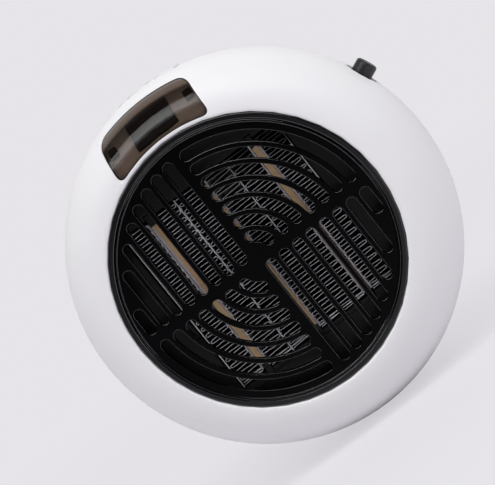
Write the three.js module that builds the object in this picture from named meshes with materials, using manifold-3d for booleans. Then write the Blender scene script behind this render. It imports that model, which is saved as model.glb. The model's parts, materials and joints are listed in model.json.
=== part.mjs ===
// Plug-in fan heater: a round two-part shell, a turning wall plug at the back, a ceramic heating
// core behind a slotted front grille, and a small axial fan between them.
// Sizes are in millimetres. The origin is the middle of the plug's seat face, +Y goes into the
// wall, the front faces -Y, and +Z is up.
import * as THREE from "three";
import { mergeVertices } from "three/addons/utils/BufferGeometryUtils.js";
import Module from "manifold-3d";

const wasm = await Module();
wasm.setup();

// Fits and cutting
const fitGap = 0.3;
const coreGap = 0.1;
const overrun = 1;
const arcTolerance = 0.25;
const mergeDistance = 0.0001;
const quarterTurn = Math.PI / 2;
const fullCircleDegrees = 360;
const topDegrees = 90;
const leastSteps = 2;
const slotTipSteps = 2;
const lipSteps = 3;
const curveSteps = 7;

// Heating core, fan bore and what is set round them, out to the body
const coreHalfHeight = 35;
const coreSideMargin = 0.25;
const boreMargin = 9.6;
const frameHeight = 4.2;
const collarWallThickness = 1.6;
const flangeWidth = 5.4;
const frontPostRadius = 3.6;
const postMargin = 0.775;
const screwCover = 14;
const rimWidth = 20.3;
const coreHalfWidth = coreHalfHeight + coreSideMargin;
const frameLow = coreHalfHeight + fitGap;
const frameHigh = frameLow + frameHeight;
const ductInnerHalfX = coreHalfWidth + fitGap;
const ductInnerHalfZ = frameHigh + fitGap;
const ductOuterHalfX = ductInnerHalfX + collarWallThickness;
const ductOuterHalfZ = ductInnerHalfZ + collarWallThickness;
const ductBore = coreHalfHeight + boreMargin;
const flangeRadius = ductBore + flangeWidth;
const screwCircle = Math.hypot(ductOuterHalfX, ductOuterHalfZ) + frontPostRadius + postMargin;
const bodyRadius = screwCircle + screwCover;
const openingRadius = bodyRadius - rimWidth;

// Shell of revolution about Y
const frontHeight = 29.5;
const frontFlatInset = 1.7;
const rearRoundWidth = 28;
const frontFlatRadius = openingRadius - frontFlatInset;
const rearFlatRadius = bodyRadius - rearRoundWidth;
const shellWall = 2.2;
const curvePowerShare = 2.3;
const tongueWall = 1.2;
const tongueReach = 3;
const tongueRoot = 4;

// Wall plug
const plugRadius = 18.25;
const plugDepth = 18;
const plugEdge = 1.2;
const earthNotchWidth = 6;
const earthNotchDepth = 2.4;
const pinRadius = 2.4;
const pinReach = 19;
const pinSpacing = 19;
const pinTipEdge = 0.8;
const swivelDiscRadius = 26;
const swivelDiscThickness = 2;
const neckRadius = 16;
const spigotRadius = 13.5;
const spigotReach = 2.5;
const retainerWidth = 6.5;
const retainerRadius = spigotRadius + retainerWidth;
const retainerThickness = 2;
const stopReach = 3;
const stopHalfDegrees = 6;
const stopLugHalfDegrees = 8;
const swivelLimitDegrees = 90;
const swivelClearDegrees = 0.5;
const liveBridgeDepth = 14;
const liveBridgeThickness = 2;
const liveStemRadius = 1.4;
const contactRingThickness = 0.8;
const liveRingRadius = 4.5;
const neutralRingInner = 8;
const neutralRingOuter = 11;

// Front grille
const lipRadius = 0.9;
const collarWall = 1.2;
const collarDepth = 9;
const ledgeThickness = 2.3;
const ledgeWidth = 1.6;
const ringSet = 0.4;
const ringWall = 2.1;
const ringEdge = 0.7;
const ringSkirtWall = 1.5;
const ringSeatWidth = 3.1;
const ringSeatThickness = 1.5;
const discSet = 0.8;
const discThickness = 2.2;
const discRimWidth = 0.8;
const discRimRise = 0.35;
const slotWidth = 4.1;
const slotPitch = 6;
const firstSlotOffset = 3.8;
const firstArcRadius = 9.3;
const ribHalfWidth = 1.95;
const slotFieldInset = 3.5;

// Heating core
const coreDepth = 15;
const coreProud = 0.7;
const sidePlateThickness = 1;
const stripWidth = 2.5;
const stripOverhang = 1.8;
const stripCount = 3;
const moduleWidth = (2 * coreHalfWidth - fitGap) / stripCount;
const dividerThickness = 0.7;
const finLegCount = 40;
const finThickness = 0.25;
const frameBehindCore = 1.7;
const baffleThickness = 1.5;
const baffleOverlap = 2.3;

// Air duct and fan
const ductWall = 1.8;
const flangeThickness = 2;
const ductOpeningInset = 1.45;
const ductOpeningShoulder = 0.6;
const lugRadius = 5;
const mountThickness = 1.8;
const mountRingWidth = 3.2;
const mountHubMargin = 2;
const mountArmWidth = 5;
const mountArmCount = 3;
const mountFirstDegrees = 30;
const terminalHoleRadius = 1.5;
const terminalRadius = 0.8;
const terminalInset = 1.5;
const bladeGap = 1.2;
const motorGap = 2;
const hubWall = 1.5;
const hubFrontThickness = 2;
const hubToMount = 3.1;
const hubBossRadius = 3;
const hubBossLength = 2.5;
const bladeCount = 7;
const bladeThickness = 1.4;
const bladeSpan = 11.5;
const bladeRootDegrees = 45;
const bladeTipDegrees = 28;
const bladeStations = 5;
const bladeCorners = 4;
const motorRadius = 12;
const motorLength = 12.5;
const motorBossRadius = 3.2;
const motorBossLength = 0.9;
const motorEdge = 0.8;
const shaftRadius = 1;
const shaftClearance = 0.1;
const shaftInMotor = 9;
const fanToFlange = 0.7;
const hubRadius = motorRadius + motorGap + hubWall;
const impellerRadius = ductBore - bladeGap;
const mountHubRadius = motorRadius + mountHubMargin;
const terminalHoleOffset = motorRadius - terminalInset;

// Housing screws and their posts
const screwCount = 4;
const screwFirstDegrees = 45;
const rearPostRadius = 3.9;
const screwHeadRadius = 2.8;
const screwHeadThickness = 2;
const screwRadius = 1.5;
const screwLength = 20;
const screwSeatSetback = 10.5;
const pilotDepth = 14;
const postInWall = 0.6;
const headSides = 12;

// Intake slots in the back
const intakeCount = 24;
const intakeStartShare = 0.5;
const intakeWidth = 3.2;
const intakeFromDisc = 3.5;
const intakeLength = 15;

// Display window and what is behind it
const windowFromOpening = 1.7;
const windowFromRim = 4;
const windowInner = openingRadius + windowFromOpening;
const windowOuter = bodyRadius - windowFromRim;
const windowInnerHalf = 20.25;
const windowOuterHalf = 19.7;
const windowCorner = 3.6;
const windowThickness = 2;
const trayMargin = 1.5;
const trayGap = 0.5;
const trayWall = 0.8;
const trayFloorDepth = 3.2;
const trayFloorThickness = 1;
const ledWidth = 18;
const ledLow = 5.7;
const ledHigh = 7.6;
const ledRise = 0.8;
const ledThickness = 1.9;
const boardThickness = 1.2;
const displayBoardHalf = 15;
const displayBoardLow = 5.2;
const displayBoardHigh = 8;
const hookOffset = 17.3;
const hookWidth = 2.2;
const hookHalfHeight = 1.7;
const hookReach = 5;

// Keys on the top rim
const keyDegrees = { key_left: 99.7, key_middle: 90, key_right: 80.3 };
const keyHalfDegrees = 3.45;
const keyHalfDepth = 5;
const keyRise = 0.5;
const keyTravel = 0.5;
const keyRest = 0.2;
const panelHalfDegrees = 17;
const panelHalfDepth = 7;
const panelThickness = 1.8;
const panelLegInset = 1.25;
const panelLegWidth = 1.8;
const panelLegHalfDepth = 4;
const panelLegDrop = 3.8;
const keyBoardDrop = 9.6;
const keyBoardMargin = 0.2;
const panelLegOffset = bodyRadius * Math.sin(THREE.MathUtils.degToRad(panelHalfDegrees)) - panelLegInset;
const panelLegTop = bodyRadius - panelLegDrop;
const keyBoardTop = bodyRadius - keyBoardDrop;
const keyBoardHalfWidth = panelLegOffset + keyBoardMargin;
const keyBoardHalfDepth = 6.2;
const tactHalf = 3;
const tactHeight = 3.2;
const tactPlungerRadius = 1.7;
const tactPlungerHeight = 1.4;
const skinHalfDepth = 9;
const skinSteps = 3;

// Power button on the right of the rim
const powerDegrees = 22.5;
const buttonRadius = 4;
const buttonRise = 4.3;
const buttonTravel = 2;
const buttonEdge = 0.6;
const buttonStemRadius = 1.5;
const buttonSkirtRadius = 4.8;
const buttonSkirtThickness = 1.2;
const bezelRadius = 6.3;
const bezelThickness = 0.7;
const bezelSink = 0.5;
const bushingRadius = 5.7;
const bushingReach = 10;
const bushingLip = 1.8;
const switchHalf = 6;
const switchHeight = 6;
const stemEngage = 1;
const stemClear = 1;
const buttonSides = 20;

// Power board and what it carries
const boardFromBack = 22;
const boardFromRim = 7.5;
const boardUnderFlange = 0.5;
const boardInner = flangeRadius - boardUnderFlange;
const boardOuter = bodyRadius - boardFromRim;
const boardFromDegrees = 236;
const boardToDegrees = 304;
const standoffFromEdge = 8.5;
const standoffDegrees = [247, 293];
const standoffRadius = 2.6;
const relaySize = [16, 11, 12.5];
const relayFromEdge = 8;
const capacitorRadius = 3.6;
const capacitorLength = 10;
const capacitorPlace = -13.2;
const capacitorFromEdge = 9;
const fuseSize = [6, 7, 11];
const fusePlace = 13.4;
const fuseFromEdge = 9;
const cutoutSize = [15, 7, 3.6];
const cutoutSetback = 3;
const thermalFuseRadius = 2;
const thermalFuseLength = 11;
const thermalFusePlace = 14;

// Leads and wipers
const leadRadius = 0.9;
const leadHole = 1.3;
const leadSides = 6;
const leadSteps = 12;
const leadClear = 2.4;
const leadBend = 4;
const leadRise = 0.8;
const wiperWidth = 2.4;
const wiperThickness = 0.3;
const wiperBase = 3;
const wiperRun = 7;
const wiperRoom = 2.1;
const neutralWiperPlace = 5.5;
const liveWiperTip = 2;
const neutralWiperTip = 6.5;

// Planes worked out from the sizes above, from the wall forwards
const backY = -plugDepth;
const recessY = backY - swivelDiscThickness - fitGap;
const innerFloorY = recessY - shellWall;
const neckEndY = innerFloorY - fitGap;
const spigotEndY = neckEndY - spigotReach;
const contactY = spigotEndY - fitGap;
const contactFaceY = contactY - contactRingThickness;
const mountRearY = contactFaceY - wiperRoom;
const mountFrontY = mountRearY - mountThickness;
const barrelRearY = mountFrontY - fitGap;
const motorRearY = mountFrontY - fitGap;
const motorFrontY = motorRearY - motorLength;
const hubRearY = mountFrontY - hubToMount;
const hubFrontY = motorFrontY - fitGap - hubBossLength - hubFrontThickness;
const flangeFrontY = hubFrontY - fanToFlange;
const flangeRearY = flangeFrontY + flangeThickness;
const frameRearY = flangeFrontY - fitGap;
const coreRearY = frameRearY - frameBehindCore;
const coreFrontY = coreRearY - coreDepth;
const ductFrontY = coreFrontY + coreProud;
const baffleRearY = ductFrontY - fitGap;
const baffleFrontY = baffleRearY - baffleThickness;
const collarRearY = baffleFrontY - fitGap;
const crestY = collarRearY - collarDepth;
const equatorY = crestY + frontHeight;
const rearHeight = backY - equatorY;
const ledgeFrontY = collarRearY - ledgeThickness;
const discFrontY = crestY + discSet;
const discRearY = discFrontY + discThickness;
const leadPortY = (ductFrontY + frameRearY) / 2;
const boardRearY = backY - boardFromBack;
const boardFrontY = boardRearY - boardThickness;

// Distances from the axis worked out from the sizes above
const recessRadius = swivelDiscRadius + fitGap;
const collarOuter = openingRadius + collarWall;
const baffleRadius = collarOuter - fitGap;
const ringInner = openingRadius - fitGap - ringWall;
const discRadius = ringInner - fitGap;
const slotFieldRadius = discRadius - slotFieldInset;
const stripHalf = stripWidth / 2;
const standoffCircle = boardOuter - standoffFromEdge;
const intakeInner = swivelDiscRadius + intakeFromDisc;
const intakeOuter = intakeInner + intakeLength;

const finishes = {
  shell: new THREE.MeshStandardMaterial({ color: "#e6e6ea", roughness: 0.35 }),
  black: new THREE.MeshStandardMaterial({ color: "#101012", roughness: 0.5 }),
  smoked: new THREE.MeshStandardMaterial({
    color: "#4a3a30",
    roughness: 0.1,
    transparent: true,
    opacity: 0.6,
  }),
  tray: new THREE.MeshStandardMaterial({ color: "#8a7a6a", roughness: 0.6 }),
  led: new THREE.MeshStandardMaterial({ color: "#0c0d0e", roughness: 0.3 }),
  board: new THREE.MeshStandardMaterial({ color: "#2f5a3c", roughness: 0.6 }),
  aluminium: new THREE.MeshStandardMaterial({ color: "#b9bbbd", roughness: 0.4, metalness: 1 }),
  ceramic: new THREE.MeshStandardMaterial({ color: "#b89a72", roughness: 0.7 }),
  resin: new THREE.MeshStandardMaterial({ color: "#3a332c", roughness: 0.7 }),
  steel: new THREE.MeshStandardMaterial({ color: "#a9abad", roughness: 0.35, metalness: 1 }),
  brass: new THREE.MeshStandardMaterial({ color: "#c8a45a", roughness: 0.35, metalness: 1 }),
  lead: new THREE.MeshStandardMaterial({ color: "#7a2018", roughness: 0.6 }),
};

// A closed geometry as a solid that can be cut and joined.
function solidOf(geometry) {
  const bare = geometry.clone();
  bare.deleteAttribute("normal");
  bare.deleteAttribute("uv");
  const merged = mergeVertices(bare, mergeDistance);
  const source = merged.index.array;
  const corners = [];
  for (let i = 0; i < source.length; i += 3) {
    const [a, b, c] = source.slice(i, i + 3);
    if (a !== b && b !== c && c !== a) corners.push(a, b, c);
  }
  const vertProperties = merged.attributes.position.array;
  const triVerts = new Uint32Array(corners);
  return new wasm.Manifold(new wasm.Mesh({ numProp: 3, vertProperties, triVerts }));
}

const asSolid = (shape) => (shape.isBufferGeometry ? solidOf(shape) : shape);

function cut(base, ...tools) {
  return tools.reduce((left, tool) => left.subtract(asSolid(tool)), asSolid(base));
}

function join(base, ...more) {
  return more.reduce((whole, piece) => whole.add(asSolid(piece)), asSolid(base));
}

function common(base, ...more) {
  return more.reduce((shared, piece) => shared.intersect(asSolid(piece)), asSolid(base));
}

// A solid back as a geometry that a mesh can hold.
function geometryOf(shape) {
  const data = asSolid(shape).getMesh();
  const geometry = new THREE.BufferGeometry();
  geometry.setAttribute("position", new THREE.BufferAttribute(data.vertProperties, data.numProp));
  geometry.setIndex(new THREE.BufferAttribute(data.triVerts, 1));
  geometry.computeVertexNormals();
  return geometry;
}

function addPiece(parent, name, shape, finish) {
  const mesh = new THREE.Mesh(geometryOf(shape), finish.clone());
  mesh.name = name;
  parent.add(mesh);
}

// How many straight steps stand for an arc: a chord strays from its arc by radius * step ** 2 / 8.
function stepsFor(radius, sweep) {
  const step = Math.sqrt((8 * arcTolerance) / radius);
  return Math.max(leastSteps, Math.ceil(Math.abs(sweep) / step));
}

const inRadians = (degrees) => THREE.MathUtils.degToRad(degrees);

function onCircle(radius, degrees) {
  const turn = inRadians(degrees);
  return [radius * Math.cos(turn), radius * Math.sin(turn)];
}

// The angle of one of several copies that are spread evenly round the axis.
const copyDegrees = (copy, count) => (fullCircleDegrees * copy) / count;

// Points of an arc round (x, z), ends included, between two angles in radians.
function arcPoints(x, z, radius, from, to, steps = stepsFor(radius, to - from)) {
  const points = [];
  for (let i = 0; i <= steps; i += 1) {
    const turn = from + ((to - from) * i) / steps;
    points.push(new THREE.Vector2(x + radius * Math.cos(turn), z + radius * Math.sin(turn)));
  }
  return points;
}

// A solid of revolution about Y from a closed profile of radius and Y.
function turned(profile, segments) {
  const points = profile.map(([radius, y]) => new THREE.Vector2(radius, y));
  points.push(points[0].clone());
  if (THREE.ShapeUtils.area(points) < 0) points.reverse();
  const widest = Math.max(...profile.map(([radius]) => radius));
  return new THREE.LatheGeometry(points, segments ?? 2 * stepsFor(widest, Math.PI));
}

// A rod along Y, at x and z.
function rod(radius, fromY, toY, x = 0, z = 0, sides = headSides) {
  const profile = [[0, fromY], [radius, fromY], [radius, toY], [0, toY]];
  return turned(profile, sides).translate(x, 0, z);
}

// An outline in X and Z, extruded along Y.
function slab(outline, fromY, toY) {
  const geometry = new THREE.ExtrudeGeometry(outline, { depth: toY - fromY, bevelEnabled: false });
  return geometry.rotateX(quarterTurn).translate(0, toY, 0);
}

// An outline in Y and Z, extruded along X.
function beam(points, fromX, toX) {
  const outline = new THREE.Shape(points.map(([y, z]) => new THREE.Vector2(y, z)));
  const geometry = new THREE.ExtrudeGeometry(outline, { depth: toX - fromX, bevelEnabled: false });
  const turn = new THREE.Matrix4().makeBasis(
    new THREE.Vector3(0, 1, 0),
    new THREE.Vector3(0, 0, 1),
    new THREE.Vector3(1, 0, 0),
  );
  return geometry.applyMatrix4(turn).translate(fromX, 0, 0);
}

// A box between two corners.
function block(low, high) {
  const size = high.map((value, i) => value - low[i]);
  const centre = high.map((value, i) => (value + low[i]) / 2);
  return new THREE.BoxGeometry(...size).translate(...centre);
}

// A tall triangle from the axis that takes in a span of the rim, about one angle.
function wedge(degrees, halfDegrees, halfDepth) {
  const reach = (bodyRadius + overrun + keyRise) / Math.cos(inRadians(halfDegrees));
  const ends = [degrees - halfDegrees, degrees + halfDegrees].map((angle) => onCircle(reach, angle));
  const corners = [[0, 0], ...ends].map(([x, z]) => new THREE.Vector2(x, z));
  return slab(new THREE.Shape(corners), equatorY - halfDepth, equatorY + halfDepth);
}

// One quarter of the shell's section as radius and height, from a start radius to the equator.
function shellCurve(flatRadius, height, inset, startRadius) {
  const reach = bodyRadius - inset - flatRadius;
  const startShare = Math.max(0, (startRadius - flatRadius) / reach);
  const first = Math.asin(startShare ** (curvePowerShare / 2));
  const points = [];
  for (let i = 0; i <= curveSteps; i += 1) {
    const turn = first + ((quarterTurn - first) * i) / curveSteps;
    const outShare = Math.sin(turn) ** (2 / curvePowerShare);
    const upShare = Math.max(0, Math.cos(turn)) ** (2 / curvePowerShare);
    points.push([flatRadius + reach * outShare, (height - inset) * upShare]);
  }
  return points;
}

function frontCurve(inset, startRadius) {
  const quarter = shellCurve(frontFlatRadius, frontHeight, inset, startRadius);
  return quarter.map(([radius, up]) => [radius, equatorY - up]);
}

function rearCurve(inset, startRadius) {
  const quarter = shellCurve(rearFlatRadius, rearHeight, inset, startRadius);
  return quarter.map(([radius, up]) => [radius, equatorY + up]);
}

// The shell's radius beside the equator, at a signed distance along Y.
function rimRadius(offset) {
  const [flatRadius, height] = offset < 0 ? [frontFlatRadius, frontHeight] : [rearFlatRadius, rearHeight];
  const share = Math.abs(offset) / height;
  return flatRadius + (bodyRadius - flatRadius) * (1 - share ** curvePowerShare) ** (1 / curvePowerShare);
}

// How far the shell's outer face is from the equator at a radius.
function heightAt(radius, flatRadius, height) {
  const share = Math.max(0, (radius - flatRadius) / (bodyRadius - flatRadius));
  return height * (1 - share ** curvePowerShare) ** (1 / curvePowerShare);
}

const frontYAt = (radius) => equatorY - heightAt(radius, frontFlatRadius, frontHeight);
const rearYAt = (radius) => equatorY + heightAt(radius, rearFlatRadius, rearHeight);

const seam = fitGap / 2;
const gapDegrees = THREE.MathUtils.radToDeg(fitGap / bodyRadius);
const postPlaces = Array.from({ length: screwCount }, (_, i) =>
  onCircle(screwCircle, screwFirstDegrees + copyDegrees(i, screwCount)),
);
const screwSeatY = equatorY + screwSeatSetback;

// A ring of the shell's skin round the rim, from depth under the surface to rise above it.
function rimSkin(rise, depth) {
  const outer = [];
  const inner = [];
  for (let i = -skinSteps; i <= skinSteps; i += 1) {
    const offset = (skinHalfDepth * i) / skinSteps;
    outer.push([rimRadius(offset) + rise, equatorY + offset]);
    inner.unshift([rimRadius(offset) - depth, equatorY + offset]);
  }
  return turned([...outer, ...inner]);
}

// A shape made along Y, laid on the power button's axis with its Y counted from the body's axis.
function onButtonAxis(geometry) {
  return geometry.rotateZ(-quarterTurn).rotateY(-inRadians(powerDegrees)).translate(0, equatorY, 0);
}

const bezelTop = bodyRadius - bezelSink;
const bezelFloor = bezelTop - bezelThickness;

// What both shells lose for the power button's bushing.
function buttonHole() {
  const wide = bezelRadius + fitGap;
  const narrow = bushingRadius + fitGap;
  const floor = bezelFloor - fitGap;
  const top = bodyRadius + overrun;
  const bottom = bezelTop - bushingReach;
  const profile = [
    [0, bottom],
    [narrow, bottom],
    [narrow, floor],
    [wide, floor],
    [wide, top],
    [0, top],
  ];
  return onButtonAxis(turned(profile));
}

const panelHole = () => wedge(topDegrees, panelHalfDegrees + gapDegrees, panelHalfDepth + fitGap);

// The display window's outline seen from the front, grown by a margin.
function windowOutline(grow) {
  const inner = windowInner - grow;
  const outer = windowOuter + grow;
  const innerHalf = windowInnerHalf + grow;
  const outerHalf = windowOuterHalf + grow;
  const corner = windowCorner + grow;
  const innerTurn = Math.asin((innerHalf - corner) / inner);
  const outerTurn = Math.asin((outerHalf - corner) / outer);
  const innerTip = new THREE.Vector2(innerHalf, Math.sqrt(inner ** 2 - innerHalf ** 2));
  const outerTip = new THREE.Vector2(outerHalf, Math.sqrt(outer ** 2 - outerHalf ** 2));
  const along = outerTip.clone().sub(innerTip).normalize().multiplyScalar(corner);
  const innerArc = arcPoints(0, 0, inner, quarterTurn + innerTurn, quarterTurn - innerTurn);
  const outerArc = arcPoints(0, 0, outer, quarterTurn - outerTurn, quarterTurn + outerTurn);
  const low = new THREE.QuadraticBezierCurve(innerArc.at(-1), innerTip, innerTip.clone().add(along));
  const high = new THREE.QuadraticBezierCurve(outerTip.clone().sub(along), outerTip, outerArc[0]);
  const right = [...low.getPoints(lipSteps).slice(1), ...high.getPoints(lipSteps).slice(0, -1)];
  const left = right.map((point) => new THREE.Vector2(-point.x, point.y)).reverse();
  return new THREE.Shape([...innerArc, ...right, ...outerArc, ...left]);
}

const windowPrism = (grow) => slab(windowOutline(grow), crestY - overrun, equatorY);

function frontShell() {
  const lipStart = openingRadius + lipRadius;
  const outer = frontCurve(0, lipStart);
  const inner = frontCurve(shellWall, collarOuter).reverse();
  outer.at(-1)[1] = equatorY - seam;
  inner[0][1] = equatorY - seam;
  const lipY = outer[0][1] + lipRadius;
  const lip = arcPoints(lipStart, lipY, lipRadius, Math.PI, Math.PI + quarterTurn, lipSteps).slice(0, -1);
  const ledgeRadius = openingRadius - ledgeWidth;
  const profile = [
    [openingRadius, ledgeFrontY],
    ...lip.map((point) => [point.x, point.y]),
    ...outer,
    ...inner,
    [collarOuter, collarRearY],
    [ledgeRadius, collarRearY],
    [ledgeRadius, ledgeFrontY],
  ];
  const postRearY = flangeFrontY - fitGap;
  const postFrontY = frontYAt(screwCircle + frontPostRadius) + postInWall;
  const posts = postPlaces.map(([x, z]) => rod(frontPostRadius, postFrontY, postRearY, x, z));
  const pilots = postPlaces.map(([x, z]) =>
    rod(screwRadius + fitGap, postRearY - pilotDepth, postRearY + overrun, x, z),
  );
  const whole = join(turned(profile), ...posts);
  return cut(whole, ...pilots, windowPrism(fitGap), panelHole(), buttonHole());
}

// Points of a slot with round ends between two distances from the axis, on the line at an angle.
function radialSlot(width, from, to, degrees) {
  const half = width / 2;
  const tips = [
    ...arcPoints(to - half, 0, half, -quarterTurn, quarterTurn, slotTipSteps),
    ...arcPoints(from + half, 0, half, quarterTurn, Math.PI + quarterTurn, slotTipSteps),
  ];
  return tips.map((point) => point.rotateAround(new THREE.Vector2(0, 0), inRadians(degrees)));
}

// A sector of a flat ring between two angles in degrees.
function ringSector(inner, outer, fromDegrees, toDegrees) {
  const [from, to] = [inRadians(fromDegrees), inRadians(toDegrees)];
  return new THREE.Shape([...arcPoints(0, 0, outer, from, to), ...arcPoints(0, 0, inner, to, from)]);
}

const retainerRearY = neckEndY - coreGap;
const retainerFrontY = retainerRearY - retainerThickness;

// The two blocks in the back floor that stop the plug's lug at its limits.
function swivelStops() {
  const away = swivelLimitDegrees + stopLugHalfDegrees + stopHalfDegrees + swivelClearDegrees;
  return [topDegrees - away, topDegrees + away].map((centre) => {
    const outline = ringSector(
      retainerRadius + fitGap,
      retainerRadius + stopReach,
      centre - stopHalfDegrees,
      centre + stopHalfDegrees,
    );
    return slab(outline, retainerFrontY, (innerFloorY + recessY) / 2);
  });
}

function rearShell() {
  const outer = rearCurve(0, rearFlatRadius).reverse();
  const inner = rearCurve(shellWall, rearFlatRadius);
  outer[0][1] = equatorY + seam;
  inner.at(-1)[1] = equatorY + tongueRoot;
  const tongueOuter = bodyRadius - shellWall - fitGap;
  const tongueInner = tongueOuter - tongueWall;
  const profile = [
    ...outer,
    [recessRadius, backY],
    [recessRadius, recessY],
    [neckRadius + fitGap, recessY],
    [neckRadius + fitGap, innerFloorY],
    [recessRadius + shellWall, innerFloorY],
    [recessRadius + shellWall, backY - shellWall],
    ...inner,
    [tongueInner, equatorY + tongueRoot + tongueWall],
    [tongueInner, equatorY - tongueReach],
    [tongueOuter, equatorY - tongueReach],
    [tongueOuter, equatorY + seam],
  ];
  const postFrontY = flangeRearY + fitGap;
  const postRearY = rearYAt(screwCircle + rearPostRadius) - postInWall;
  const posts = postPlaces.map(([x, z]) => rod(rearPostRadius, postFrontY, postRearY, x, z));
  const sinks = postPlaces.map(([x, z]) =>
    rod(screwHeadRadius + fitGap, screwSeatY, backY + overrun, x, z),
  );
  const holes = postPlaces.map(([x, z]) =>
    rod(screwRadius + fitGap, postFrontY - overrun, screwSeatY + overrun, x, z),
  );
  const standoffs = standoffDegrees.map((degrees) => {
    const [x, z] = onCircle(standoffCircle, degrees);
    const endY = rearYAt(standoffCircle + standoffRadius) - postInWall;
    return rod(standoffRadius, boardRearY + fitGap, endY, x, z);
  });
  const intakes = Array.from({ length: intakeCount }, (_, i) => {
    const degrees = copyDegrees(i + intakeStartShare, intakeCount);
    const slot = radialSlot(intakeWidth, intakeInner, intakeOuter, degrees);
    return slab(new THREE.Shape(slot), backY - shellWall - overrun, backY + overrun);
  });
  const whole = join(turned(profile), ...posts, ...standoffs, ...swivelStops());
  return cut(whole, ...sinks, ...holes, ...intakes, panelHole(), buttonHole());
}

function grilleRing() {
  const outer = openingRadius - fitGap;
  const skirtInner = outer - ringSkirtWall;
  const seatInner = ringInner - ringSeatWidth;
  const frontY = crestY + ringSet;
  const seatFrontY = discRearY + fitGap;
  const seatRearY = seatFrontY + ringSeatThickness;
  const footY = ledgeFrontY - fitGap;
  return turned([
    [outer, footY],
    [outer, frontY + ringEdge],
    [outer - ringEdge, frontY],
    [ringInner + ringEdge, frontY],
    [ringInner, frontY + ringEdge],
    [ringInner, seatFrontY],
    [seatInner, seatFrontY],
    [seatInner, seatRearY],
    [skirtInner, seatRearY],
    [skirtInner, footY],
  ]);
}

// Upright slots fill two opposite quarters of the grille, each ending on one circle.
function straightSlots() {
  const slots = [];
  const half = slotWidth / 2;
  const tallest = Math.sqrt(slotFieldRadius ** 2 - (ribHalfWidth + slotWidth) ** 2);
  for (let x = firstSlotOffset; x < tallest; x += slotPitch) {
    const top = Math.sqrt(slotFieldRadius ** 2 - x ** 2) - half;
    const points = [
      ...arcPoints(x, top, half, 0, Math.PI),
      ...arcPoints(x, ribHalfWidth + half, half, Math.PI, 2 * Math.PI),
    ];
    slots.push(points.map((point) => new THREE.Vector2(-point.x, point.y)));
    slots.push(points.map((point) => new THREE.Vector2(point.x, -point.y)));
  }
  return slots;
}

// Curved slots fill the other two quarters, round the axis, ending at the cross ribs.
function curvedSlots() {
  const slots = [];
  const half = slotWidth / 2;
  for (let radius = firstArcRadius; radius + half < slotFieldRadius; radius += slotPitch) {
    const from = Math.asin((ribHalfWidth + half) / radius);
    const to = quarterTurn - from;
    const [endX, endZ] = [radius * Math.cos(to), radius * Math.sin(to)];
    const [startX, startZ] = [endZ, endX];
    const points = [
      ...arcPoints(0, 0, radius + half, from, to),
      ...arcPoints(endX, endZ, half, to, to + Math.PI).slice(1, -1),
      ...arcPoints(0, 0, radius - half, to, from),
      ...arcPoints(startX, startZ, half, from + Math.PI, from + 2 * Math.PI).slice(1, -1),
    ];
    slots.push(points);
    slots.push(points.map((point) => new THREE.Vector2(-point.x, -point.y)));
  }
  return slots;
}

function frontGrille() {
  const outline = new THREE.Shape(arcPoints(0, 0, discRadius, 0, 2 * Math.PI).slice(0, -1));
  outline.holes = [...straightSlots(), ...curvedSlots()].map((points) => new THREE.Path(points));
  const rim = turned([
    [discRadius, discRearY],
    [discRadius, discFrontY - discRimRise],
    [discRadius - discRimWidth, discFrontY - discRimRise],
    [discRadius - discRimWidth, discRearY],
  ]);
  return join(slab(outline, discFrontY, discRearY), rim);
}

function frontBaffle() {
  const opening = block(
    [-coreHalfWidth - fitGap, baffleFrontY - overrun, baffleOverlap - frameHigh],
    [coreHalfWidth + fitGap, baffleRearY + overrun, frameHigh - baffleOverlap],
  );
  const sides = 2 * stepsFor(baffleRadius, Math.PI);
  return cut(rod(baffleRadius, baffleFrontY, baffleRearY, 0, 0, sides), opening);
}

// The display's own frame: the chord across the window, with local Y going into the housing.
const windowInnerY = frontYAt(windowInner);
const windowOuterY = frontYAt(windowOuter);
const displayTilt = Math.atan2(windowOuterY - windowInnerY, windowOuter - windowInner);
const displayY = (windowInnerY + windowOuterY) / 2;
const displayZ = (windowInner + windowOuter) / 2;
const trayBackDepth = trayFloorDepth + trayFloorThickness;

const onDisplay = (geometry) => geometry.rotateX(-displayTilt).translate(0, displayY, displayZ);
const displayBlock = (low, high) => onDisplay(block(low, high));

// One clip of the window, or with a margin the hole that it passes through.
function windowHook(side, margin) {
  const halfWidth = hookWidth / 2 + margin;
  const halfHeight = hookHalfHeight + margin;
  return displayBlock(
    [side * hookOffset - halfWidth, 0, -halfHeight],
    [side * hookOffset + halfWidth, hookReach, halfHeight],
  );
}

function displayWindow() {
  const start = windowInner - overrun;
  const skin = turned([...frontCurve(0, start), ...frontCurve(windowThickness, start).reverse()]);
  return join(common(skin, windowPrism(0)), windowHook(-1, 0), windowHook(1, 0));
}

function ledBlock(margin) {
  const front = trayFloorDepth - ledRise;
  return displayBlock(
    [-ledWidth / 2 - margin, front - margin, -ledLow - margin],
    [ledWidth / 2 + margin, front + ledThickness + margin, ledHigh + margin],
  );
}

function displayTray() {
  const inset = shellWall + trayGap;
  const inside = turned([[0, equatorY], [0, crestY + inset], ...frontCurve(inset, frontFlatRadius)]);
  const far = bodyRadius;
  const downTo = (depth) => displayBlock([-far, -far, -far], [far, depth, far]);
  const body = common(inside, windowPrism(trayMargin), downTo(trayBackDepth));
  const room = common(windowPrism(-trayWall), downTo(trayFloorDepth));
  const sides = 2 * stepsFor(far, Math.PI);
  const core = rod(collarOuter + fitGap, crestY - overrun, equatorY + overrun, 0, 0, sides);
  return cut(body, room, core, ledBlock(fitGap), windowHook(-1, fitGap), windowHook(1, fitGap));
}

function displayBoard() {
  const front = trayBackDepth + fitGap;
  return displayBlock(
    [-displayBoardHalf, front, -displayBoardLow],
    [displayBoardHalf, front + boardThickness, displayBoardHigh],
  );
}

const tactTop = keyBoardTop + coreGap + tactHeight + tactPlungerHeight;

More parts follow.
